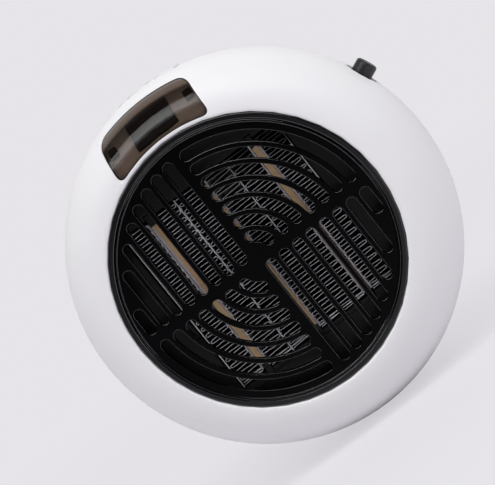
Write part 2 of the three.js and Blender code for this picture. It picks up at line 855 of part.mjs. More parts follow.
// Where a key's switch stands on the flat board under the rim.
const switchX = (degrees) => bodyRadius * Math.cos(inRadians(degrees));

function keyCap(degrees) {
  const plungerCorner = Math.hypot(Math.abs(switchX(degrees)) + tactPlungerRadius, tactTop);
  const restRadius = plungerCorner + keyTravel + keyRest;
  return common(rimSkin(keyRise, bodyRadius - restRadius), wedge(degrees, keyHalfDegrees, keyHalfDepth));
}

function tactSwitch(degrees) {
  const x = switchX(degrees);
  const bodyTop = keyBoardTop + coreGap + tactHeight;
  const body = block(
    [x - tactHalf, equatorY - tactHalf, keyBoardTop + coreGap],
    [x + tactHalf, equatorY + tactHalf, bodyTop],
  );
  const plunger = rod(tactPlungerRadius, bodyTop - tactHeight / 2, tactTop).rotateX(quarterTurn);
  return join(body, plunger.translate(x, equatorY, 0));
}

function keyPanel() {
  const holes = Object.values(keyDegrees).map((degrees) =>
    wedge(degrees, keyHalfDegrees + gapDegrees, keyHalfDepth + fitGap),
  );
  const plate = common(rimSkin(0, panelThickness), wedge(topDegrees, panelHalfDegrees, panelHalfDepth));
  const legs = [-1, 1].map((side) => {
    const ends = [side * panelLegOffset, side * (panelLegOffset - panelLegWidth)].sort((a, b) => a - b);
    return block(
      [ends[0], equatorY - panelLegHalfDepth, keyBoardTop + fitGap],
      [ends[1], equatorY + panelLegHalfDepth, panelLegTop],
    );
  });
  return join(cut(plate, ...holes), ...legs);
}

function keyBoard() {
  return block(
    [-keyBoardHalfWidth, equatorY - keyBoardHalfDepth, keyBoardTop - boardThickness],
    [keyBoardHalfWidth, equatorY + keyBoardHalfDepth, keyBoardTop],
  );
}

const bushingEnd = bezelTop - bushingReach;
const lipUnderside = bezelTop - bushingLip;
const switchTop = bushingEnd - fitGap;

function powerBushing() {
  const bore = buttonRadius + fitGap;
  const room = buttonSkirtRadius + fitGap;
  const profile = [
    [bore, bezelTop],
    [bezelRadius, bezelTop],
    [bezelRadius, bezelFloor],
    [bushingRadius, bezelFloor],
    [bushingRadius, bushingEnd],
    [room, bushingEnd],
    [room, lipUnderside],
    [bore, lipUnderside],
  ];
  return onButtonAxis(turned(profile, buttonSides));
}

function powerButton() {
  const top = bodyRadius + buttonRise;
  const skirtTop = lipUnderside - fitGap;
  const skirtEnd = skirtTop - buttonSkirtThickness;
  const profile = [
    [0, switchTop - stemEngage],
    [buttonStemRadius, switchTop - stemEngage],
    [buttonStemRadius, skirtEnd],
    [buttonSkirtRadius, skirtEnd],
    [buttonSkirtRadius, skirtTop],
    [buttonRadius, skirtTop],
    [buttonRadius, top - buttonEdge],
    [buttonRadius - buttonEdge, top],
    [0, top],
  ];
  return onButtonAxis(turned(profile, buttonSides));
}

function powerSwitch() {
  const body = block(
    [-switchHalf, switchTop - switchHeight, -switchHalf],
    [switchHalf, switchTop, switchHalf],
  );
  const socketFloor = switchTop - stemEngage - buttonTravel - stemClear;
  const socket = rod(buttonStemRadius + fitGap, socketFloor, switchTop + overrun);
  return cut(onButtonAxis(body), onButtonAxis(socket));
}

// The heating core runs, from the left, plate, fins, strip, fins, divider, fins, strip, and so on.
const stripCentres = [-moduleWidth, 0, moduleWidth];
const dividerCentres = [-moduleWidth / 2, moduleWidth / 2];

function ptcStrip(centre) {
  const half = coreHalfHeight + stripOverhang;
  return block([centre - stripHalf, coreFrontY, -half], [centre + stripHalf, coreRearY, half]);
}

function corePlate(centre, thickness) {
  const half = thickness / 2;
  return block([centre - half, coreFrontY, -coreHalfHeight], [centre + half, coreRearY, coreHalfHeight]);
}

// The gaps between strips, dividers and side plates, as pairs of X from the left.
function finSpans() {
  const sides = [-1, 1].map((side) => ({
    centre: side * (coreHalfWidth - sidePlateThickness / 2),
    half: sidePlateThickness / 2,
  }));
  const strips = stripCentres.map((centre) => ({ centre, half: stripHalf }));
  const dividers = dividerCentres.map((centre) => ({ centre, half: dividerThickness / 2 }));
  const walls = [...sides, ...strips, ...dividers].sort((a, b) => a.centre - b.centre);
  return walls.slice(1).map((wall, i) => [
    walls[i].centre + walls[i].half + coreGap,
    wall.centre - wall.half - coreGap,
  ]);
}

// One corrugated ribbon, folded to and fro between two plates.
function finBank([left, right]) {
  const rise = (2 * (coreHalfHeight - coreGap)) / finLegCount;
  const lean = Math.atan2(rise, right - left);
  const tip = finThickness / 2 / Math.sin(lean);
  const folds = Array.from({ length: finLegCount + 1 }, (_, i) => [
    i % 2 ? right - tip : left + tip,
    coreGap - coreHalfHeight + rise * i,
  ]);
  const outline = [
    ...folds.map(([x, z]) => new THREE.Vector2(x - tip, z)),
    ...folds.reverse().map(([x, z]) => new THREE.Vector2(x + tip, z)),
  ];
  return slab(new THREE.Shape(outline), coreFrontY, coreRearY);
}

// The heater lead's hole, from the axis out above or below.
function leadHoleAlongZ(side) {
  const ends = [0, side * bodyRadius].sort((a, b) => a - b);
  return rod(leadHole, ...ends).rotateX(quarterTurn).translate(0, leadPortY, 0);
}

function coreFrame(side) {
  const ends = (low, high) => (side < 0 ? [-high, -low] : [low, high]);
  const [low, high] = ends(frameLow, frameHigh);
  const pocket = ends(frameLow - overrun, coreHalfHeight + stripOverhang + fitGap);
  const body = block([-coreHalfWidth, ductFrontY, low], [coreHalfWidth, frameRearY, high]);
  const pockets = stripCentres.map((centre) =>
    block(
      [centre - stripHalf - coreGap, ductFrontY - overrun, pocket[0]],
      [centre + stripHalf + coreGap, coreRearY + fitGap, pocket[1]],
    ),
  );
  return side < 0 ? cut(body, ...pockets, leadHoleAlongZ(side)) : cut(body, ...pockets);
}

// A flat bar out from the axis at an angle, between two distances.
function radialBar(degrees, from, to, width, fromY, toY) {
  const half = width / 2;
  const corners = [[from, -half], [to, -half], [to, half], [from, half]];
  const turn = inRadians(degrees);
  const axis = new THREE.Vector2(0, 0);
  const points = corners.map(([x, z]) => new THREE.Vector2(x, z).rotateAround(axis, turn));
  return slab(new THREE.Shape(points), fromY, toY);
}

function airDuct() {
  const barrelOuter = ductBore + ductWall;
  const sides = 2 * stepsFor(barrelOuter, Math.PI);
  const barrel = turned([
    [ductBore, flangeFrontY],
    [barrelOuter, flangeFrontY],
    [barrelOuter, barrelRearY],
    [ductBore, barrelRearY],
  ]);
  const flange = rod(flangeRadius, flangeFrontY, flangeRearY, 0, 0, sides);
  const collarLow = [-ductOuterHalfX, ductFrontY, -ductOuterHalfZ];
  const collar = block(collarLow, [ductOuterHalfX, flangeRearY, ductOuterHalfZ]);
  const lugs = postPlaces.flatMap(([x, z], i) => {
    const degrees = screwFirstDegrees + copyDegrees(i, screwCount);
    const arm = radialBar(degrees, ductBore, screwCircle, 2 * lugRadius, flangeFrontY, flangeRearY);
    return [rod(lugRadius, flangeFrontY, flangeRearY, x, z), arm];
  });
  const room = block(
    [-ductInnerHalfX, ductFrontY - overrun, -ductInnerHalfZ],
    [ductInnerHalfX, flangeFrontY, ductInnerHalfZ],
  );
  const halfX = coreHalfWidth - ductOpeningInset;
  const halfZ = coreHalfHeight - ductOpeningInset;
  const throat = common(
    block(
      [-halfX, flangeFrontY - overrun, -halfZ],
      [halfX, flangeRearY + overrun, halfZ],
    ),
    rod(ductBore - ductOpeningShoulder, flangeFrontY - overrun, flangeRearY + overrun, 0, 0, sides),
  );
  const holes = postPlaces.map(([x, z]) =>
    rod(screwRadius + fitGap, flangeFrontY - overrun, flangeRearY + overrun, x, z),
  );
  return cut(join(flange, collar, barrel, ...lugs), room, throat, ...holes, leadHoleAlongZ(-1));
}

function motorMount() {
  const outer = ductBore + ductWall;
  const inner = outer - mountRingWidth;
  const ring = turned([
    [inner, mountFrontY],
    [outer, mountFrontY],
    [outer, mountRearY],
    [inner, mountRearY],
  ]);
  const hub = rod(mountHubRadius, mountFrontY, mountRearY, 0, 0, buttonSides);
  const middle = outer - mountRingWidth / 2;
  const arms = Array.from({ length: mountArmCount }, (_, i) => {
    const degrees = mountFirstDegrees + copyDegrees(i, mountArmCount);
    return radialBar(degrees, mountHubRadius / 2, middle, mountArmWidth, mountFrontY, mountRearY);
  });
  const hole = rod(terminalHoleRadius, mountFrontY - overrun, mountRearY + overrun, 0, -terminalHoleOffset);
  return cut(join(ring, hub, ...arms), hole);
}

function motor() {
  const canFrontY = motorFrontY + motorBossLength;
  const bore = shaftRadius + shaftClearance;
  const profile = [
    [bore, motorFrontY],
    [motorBossRadius, motorFrontY],
    [motorBossRadius, canFrontY],
    [motorRadius - motorEdge, canFrontY],
    [motorRadius, canFrontY + motorEdge],
    [motorRadius, motorRearY],
    [0, motorRearY],
    [0, motorFrontY + shaftInMotor + fitGap],
    [bore, motorFrontY + shaftInMotor + fitGap],
  ];
  const terminalEndY = mountRearY + leadRise - coreGap;
  const terminal = rod(terminalRadius, motorRearY - motorEdge, terminalEndY, 0, -terminalHoleOffset);
  return join(turned(profile, buttonSides), terminal);
}

function motorShaft() {
  return rod(shaftRadius, hubFrontY + hubFrontThickness / 2, motorFrontY + shaftInMotor, 0, 0, buttonSides);
}

// One twisted blade, as a bar whose section turns from root to tip.
function fanBlade(degrees) {
  const root = hubRadius - hubWall / 2;
  const corners = [];
  for (let i = 0; i < bladeStations; i += 1) {
    const share = i / (bladeStations - 1);
    const radius = root + (impellerRadius - root) * share;
    const pitch = inRadians(bladeRootDegrees + (bladeTipDegrees - bladeRootDegrees) * share);
    const halfTurn = (bladeSpan - bladeThickness) / Math.tan(pitch) / 2 / radius;
    const middle = inRadians(degrees);
    const frontY = flangeRearY + fanToFlange;
    const rearY = frontY + bladeSpan;
    const section = [
      [middle - halfTurn, frontY],
      [middle + halfTurn, rearY - bladeThickness],
      [middle + halfTurn, rearY],
      [middle - halfTurn, frontY + bladeThickness],
    ];
    corners.push(...section.map(([turn, y]) => [radius * Math.cos(turn), y, radius * Math.sin(turn)]));
  }
  const faces = [0, 1, 2, 0, 2, 3];
  const last = bladeCorners * (bladeStations - 1);
  faces.push(last, last + 2, last + 1, last, last + 3, last + 2);
  for (let i = 0; i < last; i += bladeCorners) {
    for (let side = 0; side < bladeCorners; side += 1) {
      const [a, b] = [i + side, i + ((side + 1) % bladeCorners)];
      const [c, d] = [a + bladeCorners, b + bladeCorners];
      faces.push(a, c, b, b, c, d);
    }
  }
  const geometry = new THREE.BufferGeometry();
  geometry.setAttribute("position", new THREE.BufferAttribute(new Float32Array(corners.flat()), 3));
  geometry.setIndex(faces);
  return geometry;
}

function impeller() {
  const innerY = hubFrontY + hubFrontThickness;
  const bore = shaftRadius + shaftClearance;
  const profile = [
    [0, hubFrontY],
    [hubRadius - motorEdge, hubFrontY],
    [hubRadius, hubFrontY + motorEdge],
    [hubRadius, hubRearY],
    [hubRadius - hubWall, hubRearY],
    [hubRadius - hubWall, innerY],
    [hubBossRadius, innerY],
    [hubBossRadius, innerY + hubBossLength],
    [bore, innerY + hubBossLength],
    [bore, hubFrontY + hubFrontThickness / 2 - shaftClearance],
    [0, hubFrontY + hubFrontThickness / 2 - shaftClearance],
  ];
  const blades = Array.from({ length: bladeCount }, (_, i) => fanBlade(copyDegrees(i, bladeCount)));
  return join(turned(profile, buttonSides), ...blades);
}

const pinX = pinSpacing / 2;

// A plug pin from a start plane to its tip, or with a margin the hole that it goes through.
function pinAlongY(startY, margin) {
  const radius = pinRadius + margin;
  const tipY = margin ? pinReach + overrun : pinReach;
  const tipRadius = margin ? radius : radius - pinTipEdge;
  const profile = [
    [0, startY],
    [radius, startY],
    [radius, tipY - pinTipEdge],
    [tipRadius, tipY],
    [0, tipY],
  ];
  return turned(profile, buttonSides);
}

// The neutral pin runs straight through the plug.
function neutralPin(margin) {
  const startY = margin ? spigotEndY - overrun : spigotEndY;
  return pinAlongY(startY, margin).translate(pinX, 0, 0);
}

// The live pin steps over to the middle inside the plug, where its stem meets the centre contact.
function livePin(margin) {
  const bridgeY = -liveBridgeDepth;
  const startY = bridgeY - liveBridgeThickness - margin;
  const half = liveStemRadius + margin;
  const bridge = block([-pinX, startY, -half], [half, bridgeY + margin, half]);
  const stemEnd = margin ? spigotEndY - overrun : spigotEndY;
  const stem = rod(half, stemEnd, bridgeY, 0, 0, buttonSides);
  return join(pinAlongY(startY, margin).translate(-pinX, 0, 0), bridge, stem);
}

function plugBody() {
  const discFaceY = backY - swivelDiscThickness;
  const profile = [
    [0, 0],
    [plugRadius - plugEdge, 0],
    [plugRadius, -plugEdge],
    [plugRadius, backY],
    [swivelDiscRadius, backY],
    [swivelDiscRadius, discFaceY],
    [neckRadius, discFaceY],
    [neckRadius, neckEndY],
    [spigotRadius, neckEndY],
    [spigotRadius, spigotEndY],
    [0, spigotEndY],
  ];
  const half = earthNotchWidth / 2;
  const floor = plugRadius - earthNotchDepth;
  const top = plugRadius + overrun;
  const notches = [
    block([-half, backY, floor], [half, overrun, top]),
    block([-half, backY, -top], [half, overrun, -floor]),
  ];
  return cut(turned(profile), ...notches, neutralPin(coreGap), livePin(coreGap));
}

// The ring that holds the neck in the back, with the lug that the stops catch.
function plugRetainer() {
  const inner = spigotRadius + fitGap;
  const ring = turned([
    [inner, retainerFrontY],
    [retainerRadius, retainerFrontY],
    [retainerRadius, retainerRearY],
    [inner, retainerRearY],
  ]);
  const outline = ringSector(
    (inner + retainerRadius) / 2,
    retainerRadius + stopReach,
    topDegrees - stopLugHalfDegrees,
    topDegrees + stopLugHalfDegrees,
  );
  return join(ring, slab(outline, retainerFrontY, retainerRearY));
}

function neutralRing() {
  return turned(
    [
      [neutralRingInner, contactFaceY],
      [neutralRingOuter, contactFaceY],
      [neutralRingOuter, contactY],
      [neutralRingInner, contactY],
    ],
    buttonSides,
  );
}

// A sprung brass strip from the motor mount up to a contact, towards +Z or -Z from its tip.
function wiper(x, tip, side) {
  const footLow = mountRearY + coreGap;
  const footHigh = footLow + wiperThickness;
  const tipHigh = contactFaceY - fitGap;
  const near = tip + side * wiperRun;
  const far = near + side * wiperBase;
  const points = [
    [footLow, far],
    [footHigh, far],
    [footHigh, near],
    [tipHigh, tip],
    [tipHigh - wiperThickness, tip],
    [footLow, near],
  ];
  return beam(points, x - wiperWidth / 2, x + wiperWidth / 2);
}

function powerBoard() {
  const outline = ringSector(boardInner, boardOuter, boardFromDegrees, boardToDegrees);
  return slab(outline, boardFrontY, boardRearY);
}

// A box that stands on the back of the power board, by its middle in X and from the outer edge.
function boardBox([width, depth, height], x, fromEdge) {
  const low = boardRearY + coreGap;
  const below = boardOuter - fromEdge;
  return block([x - width / 2, low, -below - height / 2], [x + width / 2, low + depth, height / 2 - below]);
}

function filterCapacitor() {
  const low = boardRearY + coreGap;
  const z = capacitorFromEdge - boardOuter;
  return rod(capacitorRadius, low, low + capacitorLength, capacitorPlace, z, buttonSides);
}

function thermalCutout() {
  const [width, depth, height] = cutoutSize;
  const low = ductOuterHalfZ + coreGap;
  const front = ductFrontY + cutoutSetback;
  return block([-width / 2, front, low], [width / 2, front + depth, low + height]);
}

function thermalFuse() {
  const fuse = rod(thermalFuseRadius, 0, thermalFuseLength).rotateZ(-quarterTurn);
  return fuse.translate(thermalFusePlace, leadPortY, -ductOuterHalfZ - coreGap - thermalFuseRadius);
}

// A lead of round section along a smooth route.
function lead(points) {
  const route = new THREE.CatmullRomCurve3(points.map((point) => new THREE.Vector3(...point)));
  const section = new THREE.Shape(arcPoints(0, 0, leadRadius, 0, 2 * Math.PI, leadSides).slice(0, -1));
  return new THREE.ExtrudeGeometry(section, { steps: leadSteps, bevelEnabled: false, extrudePath: route });
}

// From the power board's face, round the duct's flange and up into the bottom frame.
function heaterLead() {
  const below = flangeRadius + leadClear;
  return lead([
    [0, boardFrontY - coreGap, -below],
    [0, flangeRearY, -below],
    [0, leadPortY - leadBend, -below + leadRadius],
    [0, leadPortY, -below + leadBend],
    [0, leadPortY, -ductOuterHalfZ],
    [0, leadPortY, -coreHalfHeight - stripOverhang - fitGap],
  ]);
}

// From the power board's inner edge, round the barrel and along an arm to the motor.
function motorLead() {
  const outside = ductBore + ductWall + leadClear / 2;
  const behind = mountRearY + leadRadius + leadRise;
  return lead([
    [0, boardRearY + coreGap, -outside],
    [0, barrelRearY, -outside],
    [0, behind, -outside + leadRise],
    [0, behind + leadRise, -ductBore + leadBend],
    [0, behind, -terminalHoleOffset - leadBend],
    [0, behind, -neutralRingOuter - fitGap],
  ]);
}

function housingScrew([x, z]) {
  const headLow = screwSeatY + coreGap;
  const shank = rod(screwRadius, screwSeatY - screwLength, headLow + screwHeadThickness, x, z);
  return join(shank, rod(screwHeadRadius, headLow, headLow + screwHeadThickness, x, z));
}

const heater = new THREE.Group();
const add = (name, shape, finish) => addPiece(heater, name, shape, finishes[finish]);

add("plug_body", plugBody(), "black");
add("live_pin", livePin(0), "steel");
add("neutral_pin", neutralPin(0), "steel");
add("plug_retainer", plugRetainer(), "black");
add("live_contact", rod(liveRingRadius, contactFaceY, contactY, 0, 0, buttonSides), "brass");
add("neutral_contact", neutralRing(), "brass");

add("front_shell", frontShell(), "shell");
add("rear_shell", rearShell(), "shell");
postPlaces.forEach((place, i) => add("housing_screw_" + (i + 1), housingScrew(place), "steel"));
add("grille_ring", grilleRing(), "black");
add("front_grille", frontGrille(), "black");
add("front_baffle", frontBaffle(), "black");

add("display_window", displayWindow(), "smoked");
add("display_tray", displayTray(), "tray");
add("led_module", ledBlock(0), "led");
add("display_board", displayBoard(), "board");

add("key_panel", keyPanel(), "shell");
add("key_board", keyBoard(), "board");
for (const [name, degrees] of Object.entries(keyDegrees)) {
  add(name, keyCap(degrees), "shell");
  add(name.replace("key", "tact_switch"), tactSwitch(degrees), "black");
}

add("power_bushing", powerBushing(), "black");
add("power_button", powerButton(), "black");
add("power_switch", powerSwitch(), "black");

stripCentres.forEach((centre, i) => add("ptc_strip_" + (i + 1), ptcStrip(centre), "ceramic"));
dividerCentres.forEach((centre, i) => {
  add("core_divider_" + (i + 1), corePlate(centre, dividerThickness), "aluminium");
});
finSpans().forEach((span, i) => add("fin_bank_" + (i + 1), finBank(span), "aluminium"));
[-1, 1].forEach((side, i) => {
  const centre = side * (coreHalfWidth - sidePlateThickness / 2);
  add("core_side_plate_" + (i + 1), corePlate(centre, sidePlateThickness), "aluminium");
});
add("core_frame_top", coreFrame(1), "resin");
add("core_frame_bottom", coreFrame(-1), "resin");

add("air_duct", airDuct(), "black");
add("motor_mount", motorMount(), "black");
add("fan_motor", motor(), "steel");
add("motor_shaft", motorShaft(), "steel");
add("impeller", impeller(), "black");

add("power_board", powerBoard(), "board");
add("heater_relay", boardBox(relaySize, 0, relayFromEdge), "led");
add("filter_capacitor", filterCapacitor(), "led");
add("board_fuse", boardBox(fuseSize, fusePlace, fuseFromEdge), "resin");
add("thermal_cutout", thermalCutout(), "steel");
add("thermal_fuse", thermalFuse(), "resin");
add("live_wiper", wiper(0, liveWiperTip, 1), "brass");
add("neutral_wiper", wiper(neutralWiperPlace, neutralWiperTip, -1), "brass");
add("heater_lead", heaterLead(), "lead");
add("motor_lead", motorLead(), "lead");

export default heater;
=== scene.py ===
# %% [markdown]
# # A plug-in fan heater
# The heater is a white pebble of two shells that plugs straight into a wall socket. Air leaves it through a
# round black grille over a ceramic heating core. This lesson dresses a model that already has its sizes and
# its joints: each piece is made finer, or given a finish, in the place where it belongs.

# %% [markdown]
# ## The model
# The model arrives as one mesh for each part, in metres, with every place in the mesh itself. Its box is
# kept, because the dressed heater has to stay inside it.

# %% Load the model
import json
import math

import bmesh
import bpy
import numpy
from mathutils import Matrix, Vector


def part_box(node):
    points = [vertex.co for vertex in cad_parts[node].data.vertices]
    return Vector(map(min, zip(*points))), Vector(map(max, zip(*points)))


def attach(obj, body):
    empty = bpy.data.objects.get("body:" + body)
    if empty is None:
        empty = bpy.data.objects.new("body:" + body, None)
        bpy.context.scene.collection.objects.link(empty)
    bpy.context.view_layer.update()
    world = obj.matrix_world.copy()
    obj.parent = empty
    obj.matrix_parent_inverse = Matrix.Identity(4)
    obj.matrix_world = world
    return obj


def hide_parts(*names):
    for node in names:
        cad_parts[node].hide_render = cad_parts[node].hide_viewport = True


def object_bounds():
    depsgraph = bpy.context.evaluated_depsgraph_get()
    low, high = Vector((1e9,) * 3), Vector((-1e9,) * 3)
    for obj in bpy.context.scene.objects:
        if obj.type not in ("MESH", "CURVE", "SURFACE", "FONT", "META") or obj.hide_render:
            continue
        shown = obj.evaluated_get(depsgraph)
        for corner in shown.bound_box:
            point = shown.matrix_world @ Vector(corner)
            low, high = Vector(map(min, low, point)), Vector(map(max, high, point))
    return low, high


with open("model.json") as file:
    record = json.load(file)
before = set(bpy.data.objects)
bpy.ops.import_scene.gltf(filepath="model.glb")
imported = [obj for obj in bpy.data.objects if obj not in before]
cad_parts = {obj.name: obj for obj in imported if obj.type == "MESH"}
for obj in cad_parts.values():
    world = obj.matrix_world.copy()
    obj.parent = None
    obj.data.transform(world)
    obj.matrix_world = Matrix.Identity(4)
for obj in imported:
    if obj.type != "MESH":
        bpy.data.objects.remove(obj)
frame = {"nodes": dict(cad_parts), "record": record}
solid_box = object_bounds()
slot_of = {part["node"]: part["material_slot"] for part in frame["record"]["subparts"]}
body_of = {node: body for body, nodes in frame["record"]["behaviour"]["bodies"].items() for node in nodes}
MM = 0.001

# %% [markdown]
# ## The camera
# The picture was taken from the front, a little from the right and above, with the camera rolled by 38
# degrees. The place and the turn come from the ellipse of the grille, the outline of the body and the
# slots' directions. Three direction vectors are the columns of the camera's matrix, which is simpler than
# three angles here.

# %% Camera
EYE = Vector((113.390, -632.830, 58.303)) * MM
RIGHT = Vector((0.77611692, 0.09852156, -0.6228451))
UP = Vector((0.59954563, 0.19080032, 0.77726461))
AHEAD = Vector((-0.19541637, 0.97667228, -0.08901518))
LENS = 117.24
SENSOR = 36.0
NEAREST, FARTHEST = 0.05, 20.0


def put(name, data):
    thing = bpy.data.objects.new(name, data)
    bpy.context.scene.collection.objects.link(thing)
    return thing


view = bpy.data.cameras.new("picture_camera")
view.lens = LENS
view.sensor_width = SENSOR
view.clip_start = NEAREST
view.clip_end = FARTHEST
camera = put("picture_camera", view)
camera.matrix_world = Matrix.Translation(EYE) @ Matrix((RIGHT, UP, -AHEAD)).transposed().to_4x4()
bpy.context.scene.camera = camera
bpy.context.scene.view_settings.view_transform = "Standard"
print("camera at", [round(value, 3) for value in camera.location])

# %% [markdown]
# ## Building with nodes
# Every finish is a small net of nodes. One function turns a web colour into the linear values that Blender
# reckons with, and another adds a node with its settings and its links.

# %% Node helpers
MATH = "ShaderNodeMath"
VECTOR_MATH = "ShaderNodeVectorMath"
RANGE = "ShaderNodeMapRange"
MIX = "ShaderNodeMix"
SHADER = "Principled BSDF"


def linear(web_colour):
    channels = [int(web_colour[i : i + 2], 16) / 255 for i in (1, 3, 5)]
    return (*(c / 12.92 if c <= 0.04045 else ((c + 0.055) / 1.055) ** 2.4 for c in channels), 1.0)


def fill(tree, node, inputs):
    """Links sockets to a node's inputs, several where they come as a list, and sets plain values there."""
    for key, value in inputs.items():
        for one in value if isinstance(value, list) else [value]:
            if isinstance(one, bpy.types.NodeSocket):
                tree.links.new(one, node.inputs[key])
            else:
                node.inputs[key].default_value = one


def add_node(tree, kind, *values, out=0, **settings):
    """Adds a node and gives one of its outputs, or the node. Inputs come in order, or by name in a dict."""
    node = tree.nodes.new(kind)
    for key, value in settings.items():
        setattr(node, key, value)
    for slot, value in enumerate(values):
        fill(tree, node, value if isinstance(value, dict) else {slot: value})
    return node if out is None else node.outputs[out]


def start_material(name, web_colour, roughness, metallic=0.0):
    material = bpy.data.materials.new(name)
    material.use_nodes = True
    tree = material.node_tree
    shader = tree.nodes[SHADER]
    fill(tree, shader, {"Base Color": linear(web_colour), "Roughness": roughness, "Metallic": metallic})
    return material, tree, shader, add_node(tree, "ShaderNodeTexCoord", out="Object")


# %% [markdown]
# Moulded plastic is never quite even: its colour drifts a little over centimetres, and a spark-eroded mould
# leaves a fine grain. Both come from noise whose scale is worked out from a real size in millimetres, and
# the same grain also makes the roughness vary.

# %% Colour drift and grain
def drift(tree, place, first, second, size_mm):
    inputs = {"Vector": place, "Scale": 1 / (size_mm * MM), "Detail": 2.0}
    cloud = add_node(tree, "ShaderNodeTexNoise", inputs)
    inputs = {"Factor": cloud, "A": linear(first), "B": linear(second)}
    return add_node(tree, MIX, inputs, out="Result", data_type="RGBA")


def grain(tree, place, size_mm, depth_mm, strength=1.0, detail=3.0):
    inputs = {"Vector": place, "Scale": 1 / (size_mm * MM), "Detail": detail}
    height = add_node(tree, "ShaderNodeTexNoise", inputs)
    inputs = {"Height": height, "Distance": depth_mm * MM, "Strength": strength}
    return add_node(tree, "ShaderNodeBump", inputs), height


def grained(tree, shader, colour, normal_and_height, rough):
    normal, height = normal_and_height
    roughness = add_node(tree, RANGE, height, 0.0, 1.0, *rough)
    fill(tree, shader, {"Base Color": colour, "Normal": normal, "Roughness": roughness})

# %% [markdown]
# ## Plastics
# The shells are ABS, moulded and lightly polished, and the black parts are plastics that stand the heat.
# One function makes them all, because they differ only in colour, grain and gloss. The grain is drawn a
# little coarser than the real one, so that it still shows at the picture's scale. A row gives the name, two
# colours, the sizes of drift and grain and the grain's depth in millimetres, the roughness and, at times,
# the shine.

# %% Plastics
PLASTICS = {
    # A cool white with one soft, broad highlight.
    "shell_white": ("polished_white_abs", "#e6e6e7", "#eaeaea", 40, 0.9, 0.01, (0.46, 0.54), 0.35),
    # The same white from a duller mould, a little darker than the shell around the keys.
    "key_white": ("dull_white_abs", "#dddde1", "#e4e4e6", 18, 0.7, 0.02, (0.42, 0.5)),
    # Nearly black and without a sheen, so the grille reads as one dark disc.
    "black_plastic": ("grained_black_polyamide", "#020203", "#040405", 9, 0.45, 0.008, (0.22, 0.3), 0.05),
    # The same plastic where the mould polished a round edge, which holds a bright line.
    "black_edge": ("bright_black_polyamide_edge", "#040405", "#08080a", 9, 0.45, 0.004, (0.12, 0.16), 1.0),
    # Smooth and deep black, with a clear highlight.
    "black_gloss": ("smooth_black_abs", "#060607", "#0b0b0c", 14, 0.8, 0.006, (0.18, 0.25), 0.3),
    # A waxy dark grey with a wide, weak highlight.
    "fan_black": ("moulded_black_polypropylene", "#161618", "#1f1f22", 12, 0.8, 0.03, (0.38, 0.5)),
    # A warm, matt tan that the smoked window turns brown.
    "tray_brown": ("moulded_brown_polycarbonate", "#ad9683", "#9c8572", 7, 0.5, 0.03, (0.4, 0.55), 0.2),
    # Matt and sooty, a shade lighter than the grille in front of it.
    "baffle_grey": ("sooty_black_polyamide", "#181516", "#121011", 12, 0.6, 0.04, (0.4, 0.55), 0.3),
    # A dark block with hardly any shine under the window.
    "display_black": ("potted_black_epoxy", "#08080a", "#101012", 3, 0.35, 0.02, (0.28, 0.42), 0.08),
    # Brownish black, rough and dull.
    "brown_resin": ("dull_phenolic_resin", "#14110f", "#1b1714", 5, 0.4, 0.06, (0.6, 0.75)),
    # Brighter and more matt than bare metal, in uneven patches a millimetre wide.
    "glued_plate": ("silicone_smeared_aluminium", "#d8d4da", "#86838a", 1.1, 0.5, 0.05, (0.35, 0.6)),
    # A chalky white that softens where each bead turns away.
    "silicone": ("white_silicone_adhesive", "#cfcdd0", "#b9b6b9", 2, 0.5, 0.02, (0.3, 0.45)),
}


def moulded(name, first, second, drift_mm, grain_mm, depth_mm, rough, shine=0.5):
    material, tree, shader, place = start_material(name, first, rough[0])
    colour = drift(tree, place, first, second, drift_mm)
    grained(tree, shader, colour, grain(tree, place, grain_mm, depth_mm), rough)
    fill(tree, shader, {"Specular IOR Level": shine})
    return material


finish = {slot: moulded(*row) for slot, row in PLASTICS.items()}
edge_tree = finish["black_edge"].node_tree
fill(edge_tree, edge_tree.nodes[SHADER], {"Coat Weight": 1.0, "Coat IOR": 1.8})
print(len(finish), "plastics and adhesives")

# %% [markdown]
# ## The window's finish
# The window is smoked polycarbonate: thin, brown and glossy, so it reflects the studio and dims what is
# behind. Refraction would be truer, but mixing in some transparency is steadier for a part this thin. Along
# its outer edge it is painted a lighter, less clear brown: painted light over the band where the tray behind
# lies in shade.

# %% Window
# Painted light: a lighter, less see-through brown along the outer edge, over the tray's shaded band.
PAINTED_LIGHT_START, PAINTED_LIGHT_FULL = 66.8 * MM, 67.9 * MM
PAINTED_LIGHT_BROWN = "#5c4d40"
SMOKE = ("#1c1511", "#17110d")
SMOKE_ALPHA, PAINTED_LIGHT_ALPHA = 0.34, 0.85


def smoked_window():
    material, tree, shader, place = start_material("smoked_polycarbonate", SMOKE[0], 0.06)
    across = add_node(tree, VECTOR_MATH, place, (1.0, 0.0, 1.0), operation="MULTIPLY")
    ring = add_node(tree, VECTOR_MATH, across, out="Value", operation="LENGTH")
    # Painted light: towards the outer edge the window turns a lighter brown and less clear, covering the
    # shade behind.
    painted_light = add_node(tree, RANGE, ring, PAINTED_LIGHT_START, PAINTED_LIGHT_FULL)
    inputs = {"Factor": painted_light, "A": drift(tree, place, *SMOKE, size_mm=14), "B": linear(PAINTED_LIGHT_BROWN)}
    fill(tree, shader, {
        "Base Color": add_node(tree, MIX, inputs, out="Result", data_type="RGBA"),
        "Alpha": add_node(tree, RANGE, painted_light, 0.0, 1.0, SMOKE_ALPHA, PAINTED_LIGHT_ALPHA),
        "Normal": grain(tree, place, size_mm=9, depth_mm=0.02, strength=0.6, detail=1.0)[0],
        "Coat Weight": 1.0,
        "Coat Roughness": 0.05,
        "Coat IOR": 1.6,
        "Specular IOR Level": 0.1,
    })
    return material


finish["smoked_window"] = smoked_window()
print(finish["smoked_window"].name, "is veiled from", round(PAINTED_LIGHT_START / MM, 1), "mm out")

# %% [markdown]
# ## Metals
# Rolling and drawing leave fine lines, so this is the plastics' grain, stretched along one axis, and left
# round where the plating hides the lines. A row gives the name, two colours, the roughness, the stretch,
# and the lines' width and depth in millimetres.

